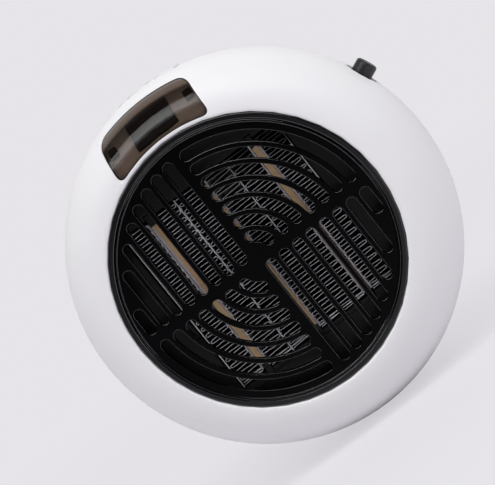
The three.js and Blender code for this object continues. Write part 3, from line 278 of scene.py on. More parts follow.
# %% Metals
METALS = {
    # A pale, half-bright grey with lines along the sheet.
    "aluminium": ("mill_finished_aluminium", "#c9cacc", "#b9bbbe", (0.26, 0.42), (1, 0.15, 1), 0.5, 0.02),
    # A darker grey with a cloudy shine, as plating has.
    "steel": ("zinc_plated_steel", "#aeb0b2", "#9b9da0", (0.25, 0.4), (1, 1, 1), 0.6, 0.02),
    # Bright and faintly warm, with lines along the pin.
    "plated_pin": ("nickel_plated_brass", "#c9c5bb", "#bcb7ab", (0.16, 0.3), (1, 0.12, 1), 0.4, 0.01),
    # Yellow, with a satin shine.
    "brass": ("spring_brass", "#c9a35a", "#b48e48", (0.24, 0.4), (1, 1, 0.2), 0.4, 0.01),
}


def rolled_metal(name, first, second, rough, along, line_mm, depth_mm):
    material, tree, shader, place = start_material(name, first, rough[0], metallic=1.0)
    stretched = add_node(tree, "ShaderNodeMapping", {"Vector": place, "Scale": along})
    colour = drift(tree, place, first, second, size_mm=6)
    lines = grain(tree, stretched, line_mm, depth_mm, strength=0.6)
    grained(tree, shader, colour, lines, rough)
    return material


finish.update({slot: rolled_metal(*row) for slot, row in METALS.items()})
print(len(METALS), "metals")

# %% [markdown]
# ## Cut foil
# Foil that is cut to width shows a bare, bright edge, while its faces stand in their own shade. Lamps alone
# would light the faces too much, so that shade is painted: the colour follows the depth behind the core's
# front, bright at the cut and dark further in. Towards one upper corner the edges are darkened as well, a
# painted shadow of the grille's solid border.

# %% Cut foil
CORE_FRONT_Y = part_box("fin_bank_1")[0][1]
CUT_START, CUT_END = CORE_FRONT_Y + 0.06 * MM, CORE_FRONT_Y + 0.22 * MM
# The last colour is painted shade: the foil's faces darken to it with depth, and the upper corner darkens to
# it as painted shadow.
CUT_BRIGHT, CUT_WORN, FOIL_SHADE = "#f6f7f8", "#c4c6c9", "#1f2021"
# Where the painted shadow at the upper corner starts and is full, its slant across the core and its strength.
TOP_SHADE_START, TOP_SHADE_FULL = 26.0 * MM, 40.0 * MM
TOP_SHADE_SLANT = 0.35
TOP_SHADE_MOST = 0.95
EDGE_METAL = 0.25
EDGE_ROUGH, FACE_ROUGH = 0.42, 0.55


def cut_foil():
    material, tree, shader, place = start_material("cut_aluminium_foil", CUT_BRIGHT, EDGE_ROUGH)
    spot = add_node(tree, "ShaderNodeSeparateXYZ", place, out=None).outputs
    inward = add_node(tree, RANGE, spot["Y"], CUT_START, CUT_END)
    edge = drift(tree, place, CUT_BRIGHT, CUT_WORN, size_mm=5)
    # Painted shade: the colour goes from the bright cut to dark with depth behind the core's front.
    inputs = {"Factor": inward, "A": edge, "B": linear(FOIL_SHADE)}
    depth_shaded = add_node(tree, MIX, inputs, out="Result", data_type="RGBA")
    # Painted shadow: darker towards one upper corner, where the grille's solid border shades the core.
    corner = add_node(tree, MATH, spot["X"], TOP_SHADE_SLANT, spot["Z"], operation="MULTIPLY_ADD")
    top_shade = add_node(tree, RANGE, corner, TOP_SHADE_START, TOP_SHADE_FULL, 0.0, TOP_SHADE_MOST)
    inputs = {"Factor": top_shade, "A": depth_shaded, "B": linear(FOIL_SHADE)}
    fill(tree, shader, {
        "Base Color": add_node(tree, MIX, inputs, out="Result", data_type="RGBA"),
        "Metallic": add_node(tree, RANGE, inward, 0.0, 1.0, EDGE_METAL, 1.0),
        "Roughness": add_node(tree, RANGE, inward, 0.0, 1.0, EDGE_ROUGH, FACE_ROUGH),
    })
    return material


finish["cut_foil"] = cut_foil()
print("cut foil is bright to", round((CUT_END - CORE_FRONT_Y) / MM, 2), "mm behind its front")

# %% [markdown]
# ## Ceramic, laminate and sleeves
# The heating strips are ceramic stones in a tan film, the boards are glass laminate with pale pads, and
# sleeves of glass fibre cover the leads. All three are a ground with small round specks, which Voronoi
# cells give at once. The left strip is smeared with white silicone along one side of its upper half, so it
# gets a copy of that finish with a wavering white band on it.

# %% Specks and the smeared wrap
SPECKLED = {
    # A tan film, half glossy, with darker spots where it touches the stones.
    "ceramic": ("wrapped_ptc_ceramic", "#c9b27f", "#c59b7a", "#b0936a", 2.3, (0.4, 0.55), 0.03),
    # Deep glossy green with pale pads.
    "circuit_board": ("green_glass_laminate", "#235233", "#1d472b", "#c9b26a", 3.1, (0.3, 0.42), 0.02),
    # A dull, coarse red. The braid is drawn as coarse as it needs to show.
    "lead_sleeve": ("red_glass_fibre_sleeve", "#7a1a14", "#6a1510", "#8f2c22", 0.7, (0.6, 0.75), 0.08),
}
SPECK_FULL, SPECK_END, SPECK_SHARE = 0.08, 0.2, 0.55
SMEAR_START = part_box("ptc_strip_1")[0][0] + 0.3 * MM
SMEAR_END = SMEAR_START + 0.3 * MM
SMEAR_SWAY = -0.9 * MM
SMEAR_WAVE = 2.2 * MM


def speckled(name, first, second, speck, speck_mm, rough, depth_mm):
    material, tree, shader, place = start_material(name, first, rough[0])
    inputs = {"Vector": place, "Scale": 1 / (speck_mm * MM), "Randomness": 1.0}
    cells = add_node(tree, "ShaderNodeTexVoronoi", inputs, out="Distance")
    spot = add_node(tree, RANGE, cells, SPECK_FULL, SPECK_END, SPECK_SHARE, 0.0)
    inputs = {"Factor": spot, "A": drift(tree, place, first, second, size_mm=5), "B": linear(speck)}
    colour = add_node(tree, MIX, inputs, out="Result", data_type="RGBA")
    grained(tree, shader, colour, grain(tree, place, speck_mm, depth_mm), rough)
    return material


def smeared_wrap(depth_shaded):
    material = depth_shaded.copy()
    material.name = "silicone_smeared_ptc_wrap"
    tree = material.node_tree
    colour = tree.nodes[SHADER].inputs["Base Color"]
    place = add_node(tree, "ShaderNodeTexCoord", out="Object")
    spot = add_node(tree, "ShaderNodeSeparateXYZ", place, out=None).outputs
    inputs = {"Vector": place, "Scale": 1 / SMEAR_WAVE, "Detail": 3.0}
    cloud = add_node(tree, "ShaderNodeTexNoise", inputs)
    edge = add_node(tree, MATH, cloud, SMEAR_SWAY, spot["X"], operation="MULTIPLY_ADD")
    across = add_node(tree, RANGE, edge, SMEAR_START, SMEAR_END, 1.0, 0.0)
    upper = add_node(tree, MATH, spot["Z"], 0.0, operation="GREATER_THAN")
    inputs = {
        "Factor": add_node(tree, MATH, across, upper, operation="MULTIPLY"),
        "A": colour.links[0].from_socket,
        "B": drift(tree, place, "#d6cfd6", "#9a929c", size_mm=1.3),
    }
    tree.links.new(add_node(tree, MIX, inputs, out="Result", data_type="RGBA"), colour)
    return material


finish.update({slot: speckled(*row) for slot, row in SPECKLED.items()})
finish["smeared_wrap"] = smeared_wrap(finish["ceramic"])
print(len(finish), "finishes")

# %% [markdown]
# ## Floor, backdrop and light
# The studio is one pale sheet. The camera is rolled, so the line where the floor meets the world would run
# across the picture at a slant: the world and the floor get the same tone, and the line can't be seen. The
# world's tone is what the camera and polished surfaces see, while the light on the heater comes from two
# soft lamps. One lights the dull surfaces and the other only draws highlights, so each can be set by
# itself.

# %% Floor and world
FLOOR_TONE, FLOOR_DRIFT = "#e6e4e8", "#e3e1e6"
FLOOR_BELOW = 0.5 * MM
FLOOR_HALF = 3.0
FADE_START, FADE_END, FADE_LEAST = 0.1, 0.6, 0.72
WORLD_LIT, ROOM_DARK, SHEET_BRIGHT = 0.78, 0.02, 0.9
SHEET_FROM, SHEET_TO = -0.1, 0.5


def lay_floor(half, level):
    mesh = bpy.data.meshes.new("studio_floor")
    corners = [(-half, -half, level), (half, -half, level), (half, half, level), (-half, half, level)]
    mesh.from_pydata(corners, [], [(0, 1, 2, 3)])
    material, tree, shader, place = start_material("pale_paper", FLOOR_TONE, 0.9)
    tree.links.new(drift(tree, place, FLOOR_TONE, FLOOR_DRIFT, size_mm=300), shader.inputs["Base Color"])
    away = add_node(tree, VECTOR_MATH, place, out="Value", operation="LENGTH")
    ends = {"From Min": FADE_START, "From Max": FADE_END, "To Min": FADE_LEAST}
    fade = add_node(tree, RANGE, away, ends, interpolation_type="SMOOTHSTEP")
    seen = add_node(tree, "ShaderNodeLightPath", out="Is Camera Ray")
    share = add_node(tree, MATH, fade, seen, operation="MULTIPLY")
    glow = add_node(tree, "ShaderNodeEmission", linear(FLOOR_TONE), 1.0)
    blend = add_node(tree, "ShaderNodeMixShader", share, shader.outputs[0], glow)
    tree.links.new(blend, tree.nodes["Material Output"].inputs["Surface"])
    mesh.materials.append(material)
    put("studio_floor", mesh)


def light_world():
    world = bpy.data.worlds.new("studio_world")
    world.use_nodes = True
    tree = world.node_tree
    path = add_node(tree, "ShaderNodeLightPath", out=None).outputs
    glossy, through = path["Is Glossy Ray"], path["Is Transmission Ray"]
    mirrored = add_node(tree, MATH, glossy, through, operation="MAXIMUM")
    towards = add_node(tree, "ShaderNodeTexCoord", out="Generated")
    depth = add_node(tree, "ShaderNodeSeparateXYZ", towards, out="Y")
    sheet = add_node(tree, RANGE, depth, SHEET_FROM, SHEET_TO, ROOM_DARK, SHEET_BRIGHT)
    polished = add_node(tree, MIX, {"Factor": mirrored, "A": WORLD_LIT, "B": sheet})
    strength = add_node(tree, MIX, {"Factor": path["Is Camera Ray"], "A": polished, "B": 1.0})
    fill(tree, tree.nodes["Background"], {"Color": linear(FLOOR_TONE), "Strength": strength})
    bpy.context.scene.world = world


floor_level = solid_box[0][2] - FLOOR_BELOW
lay_floor(FLOOR_HALF, floor_level)
light_world()
print("floor at", round(floor_level / MM, 1), "mm")

# %% Lamps
LAMP_AIM = Vector((0.0, -0.05, 0.0))
LAMP_DISTANCE = 1.3
LAMP_SIZE = (2.0, 0.5)


def soft_lamp(name, towards, power):
    data = bpy.data.lights.new(name, "AREA")
    data.shape = "RECTANGLE"
    data.size, data.size_y = LAMP_SIZE
    data.energy = power
    lamp = put(name, data)
    direction = Vector(towards).normalized()
    across = (Vector((1, 0, 0)) - direction * direction.x).normalized()
    turn = Matrix((across, direction.cross(across), direction)).transposed()
    lamp.matrix_world = Matrix.Translation(LAMP_AIM + direction * LAMP_DISTANCE) @ turn.to_4x4()
    print(name, "gives", round(power, 1), "W")
    return lamp


soft_lamp("key_lamp", (0.25, -0.55, 1.28), 11.6).visible_glossy = False
soft_lamp("gloss_lamp", (0.05, -0.8, 1.14), 12.0).visible_diffuse = False

# %% [markdown]
# ## Finishes on the model's own parts
# Every part gets the finish of its slot at once. Parts that are made finer further down lose theirs again,
# as their stand-ins take over, and the others keep both their shape and this finish.

# %% Dress every part
for node, part in frame["nodes"].items():
    part.data.materials.clear()
    part.data.materials.append(finish[slot_of[node]])
print("dressed", len(frame["nodes"]), "parts")

# %% [markdown]
# ## Copies that are merged first
# A part's own mesh is loose triangles and is never touched. Where a part is made finer, its mesh is copied,
# its doubled points are merged, and flat neighbours are joined again, which gives a mesh that bevels and
# smooths well. The copy then stands for the part and rides on the same body. Modifiers are worked out at
# once, so that only plain meshes reach the end.

# %% Copy a part
MERGE_WITHIN = 0.002 * MM
FLAT_WITHIN = math.radians(0.5)


def to_mesh(work, name):
    mesh = bpy.data.meshes.new(name)
    work.to_mesh(mesh)
    work.free()
    return mesh


def merged_copy(node, flatten=True):
    work = bmesh.new()
    work.from_mesh(frame["nodes"][node].data)
    bmesh.ops.remove_doubles(work, verts=work.verts, dist=MERGE_WITHIN)
    if flatten:
        bmesh.ops.dissolve_limit(
            work, angle_limit=FLAT_WITHIN, verts=work.verts, edges=work.edges, delimit=set()
        )
    return work


def settled(holder):
    """Takes what a holder's modifier makes as a plain mesh, and removes the holder."""
    bpy.context.view_layer.update()
    done = bpy.data.meshes.new_from_object(holder.evaluated_get(bpy.context.evaluated_depsgraph_get()))
    bpy.data.objects.remove(holder)
    return done


def modified(mesh, kind, **settings):
    holder = put(mesh.name + "_work", mesh)
    modifier = holder.modifiers.new("work", kind)
    for key, value in settings.items():
        setattr(modifier, key, value)
    return settled(holder)


# %% [markdown]
# A bevel that is shaded smooth bleeds its roundness into the flat face beside it. Weighted normals let the
# large faces keep their own direction, so a flat face next to a rounded edge looks flat.

# %% Add a piece
def dressed(mesh, name, body, slot, look, sharp_degrees, even=True):
    mesh.materials.clear()
    mesh.materials.append(finish[look or slot])
    mesh.shade_smooth()
    mesh.set_sharp_from_angle(angle=math.radians(sharp_degrees))
    if even:
        mesh = modified(mesh, "WEIGHTED_NORMAL", mode="FACE_AREA", keep_sharp=True)
    piece = put(name, mesh)
    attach(piece, body)
    print(name, "has", len(mesh.polygons), "faces")
    return piece


def stand_in(mesh, node, name=None, look=None, sharp_degrees=35.0, even=True):
    """A piece that takes the place of one of the model's own parts."""
    name = name or node + "_fine"
    piece = dressed(mesh, name, body_of[node], slot_of[node], look, sharp_degrees, even)
    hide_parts(node)
    return piece


def ride_along(meshes, name, slot, look=None):
    """A piece of the housing that the model has no part for, made of one or more meshes."""
    work = bmesh.new()
    for mesh in meshes:
        work.from_mesh(mesh)
    return dressed(to_mesh(work, name), name, "housing", slot, look, 40.0)


# %% [markdown]
# ## Rounded edges
# Nothing moulded or pressed has a knife edge. A bevel of a few tenths of a millimetre catches a line of
# light.

# %% Round the edges of a part
def round_edges(mesh, width_mm, degrees=32.0, segments=2):
    limit = math.radians(degrees)
    return modified(
        mesh, "BEVEL", width=width_mm * MM, segments=segments, limit_method="ANGLE", angle_limit=limit
    )


def finer(node, width_mm, segments=2, look=None):
    mesh = to_mesh(merged_copy(node), node + "_fine")
    stand_in(round_edges(mesh, width_mm, segments=segments), node, look=look, sharp_degrees=40.0)


# %% [markdown]
# ## The skin of the pebble
# Seen from the side the body is two quarter curves that meet at its widest circle. Each follows the rule
# that the sum of two shares, each raised to a power, is one, which is rounder than an ellipse. The model's
# facets lie on that curve only at their corners. Here the outer faces are cut finer, their points are moved
# onto the curve, and the shading takes its directions from the rule itself, so the white shell reflects
# without a ripple. Points near the front or the back move along the axis, and points near the rim move
# outwards. The openings are cut that way there, so their edges stay straight.

# %% The rule of the skin
BODY_RADIUS = 74.0
WIDEST_Y = -46.5
FRONT_FLAT, FRONT_HEIGHT = 52.0, 29.5
REAR_FLAT, REAR_HEIGHT = 46.0, 28.5
CURVE_POWER = 2.3
LIP_END = 54.58
STEEP, SHALLOW = 0.3, 0.6
CURVED_FROM = 0.2
ON_SKIN, ON_CURVE = 0.022, 0.004
FACING = 0.85
SKIN_CUTS = 3


def skin_rule(points, rise, tolerance):
    """For points in millimetres: are they on the skin, does it curve there, their place and its direction."""
    x, y, z = points.T
    ring = numpy.hypot(x, z)
    front = y < WIDEST_Y
    flat = numpy.where(front, FRONT_FLAT, REAR_FLAT)
    height = numpy.where(front, FRONT_HEIGHT, REAR_HEIGHT)
    side = numpy.where(front, -1.0, 1.0)
    out = numpy.maximum((ring - rise - flat) / (BODY_RADIUS - flat), 0.0)
    up = numpy.abs(y - WIDEST_Y) / height
    total = (out**CURVE_POWER + up**CURVE_POWER) ** (1 / CURVE_POWER)
    axial = numpy.clip((up - STEEP) / (SHALLOW - STEEP), 0.0, 1.0)
    up_there = numpy.maximum(1 - numpy.minimum(out, 1.0) ** CURVE_POWER, 0.0) ** (1 / CURVE_POWER)
    out_there = numpy.maximum(1 - numpy.minimum(up, 1.0) ** CURVE_POWER, 0.0) ** (1 / CURVE_POWER)
    up = up * (1 - axial) + up_there * axial
    out = out_there * (1 - axial) + out * axial
    onto = (out**CURVE_POWER + up**CURVE_POWER) ** (1 / CURVE_POWER)
    out, up = out / onto, up / onto
    new_ring = numpy.where(out > 0, flat + out * (BODY_RADIUS - flat) + rise, ring)
    share = new_ring / numpy.maximum(ring, 1e-9)
    place = numpy.stack([x * share, WIDEST_Y + side * up * height, z * share], axis=1)
    across = out ** (CURVE_POWER - 1) / (BODY_RADIUS - flat)
    along = side * up ** (CURVE_POWER - 1) / height
    direction = numpy.stack([across * x / ring, along, across * z / ring], axis=1)
    direction /= numpy.linalg.norm(direction, axis=1)[:, None]
    near = (numpy.abs(total - 1) < tolerance) & (~front | (ring > LIP_END))
    return near, ring >= flat + CURVED_FROM, place, direction


def skin_faces(work, rise, curved_only=False):
    """The faces that lie on the skin, and the place of every point on it."""
    work.normal_update()
    work.verts.index_update()
    work.verts.ensure_lookup_table()
    points = numpy.array([vert.co[:] for vert in work.verts]) / MM
    near, curved, place, direction = skin_rule(points, rise, ON_SKIN)
    chosen = []
    for face in work.faces:
        rows = [vert.index for vert in face.verts]
        if not near[rows].all() or (curved_only and not curved[rows].any()):
            continue
        if Vector(direction[rows].mean(axis=0)).dot(face.normal) < FACING:
            continue
        chosen.append(face)
    return chosen, place


# %% Smooth a part of the skin
def direct_shading(piece, rise):
    """Gives the faces on the skin the exact direction of the rule, and leaves the others as they are."""
    mesh = piece.data
    points = numpy.empty(len(mesh.vertices) * 3)
    mesh.vertices.foreach_get("co", points)
    near, _, _, direction = skin_rule(points.reshape(-1, 3) / MM, rise, ON_CURVE)
    normals = numpy.zeros((len(mesh.loops), 3))
    done = 0
    for face in mesh.polygons:
        corners = list(face.loop_indices)
        rows = [mesh.loops[corner].vertex_index for corner in corners]
        if near[rows].all() and direction[rows].mean(axis=0) @ numpy.array(face.normal) > FACING:
            normals[corners] = direction[rows]
            done += 1
    mesh.normals_split_custom_set(normals.tolist())
    print(piece.name, "is shaded by the rule on", done, "faces")


def smooth_skin(node, rise=0.0, carve=None):
    work = merged_copy(node, flatten=False)
    chosen, _ = skin_faces(work, rise, curved_only=True)
    edges = list({edge for face in chosen for edge in face.edges})
    bmesh.ops.subdivide_edges(work, edges=edges, cuts=SKIN_CUTS, use_grid_fill=True)
    chosen, place = skin_faces(work, rise)
    for vert in {vert for face in chosen for vert in face.verts}:
        vert.co = Vector(place[vert.index]) * MM
    work.normal_update()
    mesh = to_mesh(work, node + "_smooth")
    if carve:
        mesh = cut_mesh(mesh, carve)
    direct_shading(stand_in(mesh, node, sharp_degrees=30.0, even=False), rise)


# %% [markdown]
# ## Shapes from sections
# A slab, a curved wall and a ring are all one section that is repeated and joined. Building them point by
# point is longer than cutting primitives, but their edges then lie exactly where the sizes say.

# %% Sections and cuts
BEFORE_FRONT = -80.0


def lofted(name, rings, closed=False):
    """Joins rings of points, in millimetres, one after the other. The ends meet, or each gets a face."""
    work = bmesh.new()
    grid = [[work.verts.new(Vector(point) * MM) for point in ring] for ring in rings]
    count = len(grid[0])
    for here, ahead in zip(grid, grid[1:] + grid[:1] if closed else grid[1:]):
        for row in range(count):
            other = (row + 1) % count
            work.faces.new((here[row], here[other], ahead[other], ahead[row]))
    if not closed:
        work.faces.new(grid[0])
        work.faces.new(list(reversed(grid[-1])))
    bmesh.ops.recalc_face_normals(work, faces=work.faces)
    return to_mesh(work, name)


def slab(outline, far_y):
    """A prism along Y that starts before the heater's front, with an outline in X and Z."""
    return lofted("slab", [[(point.x, y, point.y) for point in outline] for y in (BEFORE_FRONT, far_y)])


def swept(name, section, turns, closed=False):
    """Sweeps a closed section of (radius, y) points round the Y axis."""
    rings = [[(radius * math.cos(t), y, radius * math.sin(t)) for radius, y in section] for t in turns]
    return lofted(name, rings, closed)


def cut_mesh(mesh, tool, operation="DIFFERENCE"):
    knife = put("knife", tool)
    done = modified(mesh, "BOOLEAN", operation=operation, solver="EXACT", object=knife)
    bpy.data.objects.remove(knife)
    return done


# %% [markdown]
# ## The display window
# The window and its opening share one outline, seen from the front: two arcs round the grille, two short
# sides and four rounded corners. A slab with that outline and far finer corners carves the opening clean,
# and what it has in common with a thin stretch of the skin is the window.

# %% Outline of the window
WINDOW_INNER, WINDOW_OUTER = 55.4, 70.0
INNER_HALF, OUTER_HALF = 20.25, 19.7
WINDOW_CORNER = 3.6
WINDOW_THICKNESS = 2.0
WINDOW_GAP = 0.42
ARC_STEPS, CORNER_STEPS = 48, 12


def bend(start, tip, end):
    shares = [step / CORNER_STEPS for step in range(CORNER_STEPS + 1)]
    return [start * (1 - s) ** 2 + tip * 2 * s * (1 - s) + end * s**2 for s in shares]


def arc(radius, first, last):
    turns = [first + (last - first) * step / ARC_STEPS for step in range(ARC_STEPS + 1)]
    return [Vector((radius * math.cos(turn), radius * math.sin(turn))) for turn in turns]


def window_outline(grow):
    inner, outer = WINDOW_INNER - grow, WINDOW_OUTER + grow
    inner_half, outer_half = INNER_HALF + grow, OUTER_HALF + grow
    corner = WINDOW_CORNER + grow
    inner_turn = math.asin((inner_half - corner) / inner)
    outer_turn = math.asin((outer_half - corner) / outer)
    inner_tip = Vector((inner_half, math.sqrt(inner**2 - inner_half**2)))
    outer_tip = Vector((outer_half, math.sqrt(outer**2 - outer_half**2)))
    along = (outer_tip - inner_tip).normalized() * corner
    upright = math.pi / 2
    low_arc = arc(inner, upright + inner_turn, upright - inner_turn)
    high_arc = arc(outer, upright - outer_turn, upright + outer_turn)
    right = bend(low_arc[-1], inner_tip, inner_tip + along)[1:]
    right += bend(outer_tip - along, outer_tip, high_arc[0])[:-1]
    left = [Vector((-point.x, point.y)) for point in reversed(right)]
    return low_arc + right + high_arc + left


# %% Walls that follow the skin
SHEET_HALF_TURN = math.radians(26)
SHEET_ACROSS, SHEET_ALONG = 96, 40


def skin_profile(inner_ring, inset):
    """Points of (radius, y) on the front skin or a little below it, from a ring out to the widest circle."""
    reach = BODY_RADIUS - inset - FRONT_FLAT
    first = math.asin(max(0.0, (inner_ring - FRONT_FLAT) / reach) ** (CURVE_POWER / 2))
    profile = []
    for step in range(SHEET_ALONG + 1):
        turn = first + (math.pi / 2 - first) * step / SHEET_ALONG
        ring = FRONT_FLAT + reach * math.sin(turn) ** (2 / CURVE_POWER)
        rise = (FRONT_HEIGHT - inset) * max(0.0, math.cos(turn)) ** (2 / CURVE_POWER)
        profile.append((ring, WIDEST_Y - rise))
    return profile


def skin_sheet(name, inner_ring, near, far):
    """A wall between two depths below the skin, from a ring outwards, on both sides of the top."""
    section = skin_profile(inner_ring, near) + skin_profile(inner_ring, far)[::-1]
    shares = [2 * step / SHEET_ACROSS - 1 for step in range(SHEET_ACROSS + 1)]
    return swept(name, section, [math.pi / 2 + SHEET_HALF_TURN * share for share in shares])


def in_outline(sheet, grow, far_y=WIDEST_Y):
    return cut_mesh(sheet, slab(window_outline(grow), far_y), "INTERSECT")


# %% Shells, window and keys
KEY_RISE = 0.5
SHEET_START = WINDOW_INNER - 2.0
window_mesh = in_outline(skin_sheet("window_sheet", SHEET_START, 0.0, WINDOW_THICKNESS), 0.0)
smooth_skin("front_shell", carve=slab(window_outline(WINDOW_GAP), WIDEST_Y))
smooth_skin("rear_shell")
smooth_skin("key_panel")
window_mesh = round_edges(window_mesh, width_mm=0.3, degrees=40.0, segments=3)
stand_in(window_mesh, "display_window", sharp_degrees=50.0)
for node in ("key_left", "key_middle", "key_right"):
    smooth_skin(node, rise=KEY_RISE)

# %% [markdown]
# ## Trees that follow a rule
# The slots of the grille, the folds of foil and the beads of glue repeat, so Geometry Nodes make them from
# a few named sizes. A tree's inputs are its sizes in metres. Each is set on the modifier by its identifier
# before the mesh is first worked out, and the result is taken as a plain mesh.


# %% Helpers for trees
def start_tree(name, sizes):
    tree = bpy.data.node_groups.new(name, "GeometryNodeTree")
    tree.interface.new_socket(name="Mesh", in_out="OUTPUT", socket_type="NodeSocketGeometry")
    for key, value in sizes.items():
        kind = "NodeSocketInt" if isinstance(value, int) else "NodeSocketFloat"
        tree.interface.new_socket(name=key, in_out="INPUT", socket_type=kind).default_value = value
    return tree, tree.nodes.new("NodeGroupInput").outputs


def placed(tree, points, instance, offset, more=None):
    shifted = add_node(tree, "GeometryNodeSetPosition", {"Geometry": points, "Offset": offset})
    inputs = {"Points": shifted, "Instance": instance, **(more or {})}
    return add_node(tree, "GeometryNodeInstanceOnPoints", inputs)


def end_tree(tree, geometry, material):
    real = add_node(tree, "GeometryNodeRealizeInstances", geometry)
    done = add_node(tree, "GeometryNodeSetMaterial", {"Geometry": real, "Material": material})
    tree.links.new(done, tree.nodes.new("NodeGroupOutput").inputs[0])


def grow(tree, sizes, name):
    holder = put(name, bpy.data.meshes.new(name))
    modifier = holder.modifiers.new("grow", "NODES")
    modifier.node_group = tree
    for item in tree.interface.items_tree:
        if item.item_type == "SOCKET" and item.in_out == "INPUT":
            modifier[item.identifier] = sizes[item.name]
    mesh = settled(holder)
    mesh.name = name
    print(name, "has", len(mesh.polygons), "faces")
    return mesh


# %% [markdown]
# ## The grille
# The grille is one moulded disc. Two opposite quarters have upright slots that all end on one circle, and
# the other two have slots that curve round the middle. A drawing could be traced, but the slots follow a
# rule, so a tree makes them: bars with round ends, set at a steady pitch, are taken away from the disc. The
# tree works lying flat and turns the disc up at the end.

# %% Sizes of the grille
GRILLE = {
    "Disc Radius": 51.0 * MM,
    "Thickness": 2.2 * MM,
    "Rim Width": 0.8 * MM,
    "Rim Rise": 0.35 * MM,
    "Slot Width": 4.1 * MM,
    "Slot Pitch": 6.0 * MM,
    "First Offset": 3.8 * MM,
    "First Arc": 9.3 * MM,
    "Rib Half": 1.95 * MM,
    "Field Radius": 47.5 * MM,
    "Straight Slots": 8,
    "Curved Slots": 7,
}
GRILLE_REAR_Y = -73.0 * MM
OVER = 1.0 * MM


# %% Slots of the grille
def straight_slots(tree, given, half, low, depth, end):
    back = add_node(tree, MATH, given["Slot Pitch"], -1.0, operation="MULTIPLY")
    first = add_node(tree, MATH, given["First Offset"], -1.0, operation="MULTIPLY")
    inputs = {
        "Count": given["Straight Slots"],
        "Start Location": add_node(tree, "ShaderNodeCombineXYZ", first),
        "Offset": add_node(tree, "ShaderNodeCombineXYZ", back),
    }
    row = add_node(tree, "GeometryNodeMeshLine", inputs, mode="OFFSET")
    x = add_node(tree, "ShaderNodeSeparateXYZ", add_node(tree, "GeometryNodeInputPosition"))
    field = add_node(tree, MATH, given["Field Radius"], 2.0, operation="POWER")
    width = add_node(tree, MATH, x, x, operation="MULTIPLY")
    square = add_node(tree, MATH, field, width, operation="SUBTRACT")
    reach = add_node(tree, MATH, square, operation="SQRT")
    top = add_node(tree, MATH, reach, half, operation="SUBTRACT")
    both = add_node(tree, MATH, top, low, operation="ADD")
    middle = add_node(tree, MATH, both, 0.5, operation="MULTIPLY")
    length = add_node(tree, MATH, top, low, operation="SUBTRACT")
    bar = add_node(tree, "GeometryNodeMeshCube", {"Size": (1.0, 1.0, 1.0)})
    size = add_node(tree, "ShaderNodeCombineXYZ", given["Slot Width"], length, depth)
    bars = placed(tree, row, bar, add_node(tree, "ShaderNodeCombineXYZ", 0.0, middle), {"Scale": size})
    tops = placed(tree, row, end, add_node(tree, "ShaderNodeCombineXYZ", 0.0, top))
    lows = placed(tree, row, end, add_node(tree, "ShaderNodeCombineXYZ", 0.0, low))
    return add_node(tree, "GeometryNodeJoinGeometry", [bars, tops, lows])


def curved_slots(tree, given, low, depth, end):
    start = add_node(tree, "GeometryNodeRepeatInput", out=None)
    stop = add_node(tree, "GeometryNodeRepeatOutput", out=None)
    start.pair_with_output(stop)
    stop.repeat_items.new("FLOAT", "Radius")
    fill(tree, start, {"Iterations": given["Curved Slots"], "Radius": given["First Arc"]})
    radius = start.outputs["Radius"]
    sine = add_node(tree, MATH, low, radius, operation="DIVIDE")
    first = add_node(tree, MATH, sine, operation="ARCSINE")
    sweep = add_node(tree, MATH, first, -2.0, math.pi / 2, operation="MULTIPLY_ADD")
    inputs = {"Resolution": 48, "Radius": radius, "Start Angle": first, "Sweep Angle": sweep}
    bow = add_node(tree, "GeometryNodeCurveArc", inputs, mode="RADIUS")
    inputs = {"Width": given["Slot Width"], "Height": depth}
    section = add_node(tree, "GeometryNodeCurvePrimitiveQuadrilateral", inputs, mode="RECTANGLE")
    upright = add_node(tree, "GeometryNodeSetCurveNormal", {"Curve": bow}, mode="Z_UP")
    inputs = {"Curve": upright, "Profile Curve": section, "Fill Caps": True}
    band = add_node(tree, "GeometryNodeCurveToMesh", inputs)
    inputs = {"Start Size": 1, "End Size": 1}
    tips = add_node(tree, "GeometryNodeCurveEndpointSelection", inputs)
    inputs = {"Points": bow, "Selection": tips, "Instance": end}
    ends = add_node(tree, "GeometryNodeInstanceOnPoints", inputs)
    fill(tree, stop, {
        "Geometry": add_node(tree, "GeometryNodeJoinGeometry", [start.outputs["Geometry"], band, ends]),
        "Radius": add_node(tree, MATH, radius, given["Slot Pitch"], operation="ADD"),
    })
    return stop.outputs["Geometry"]


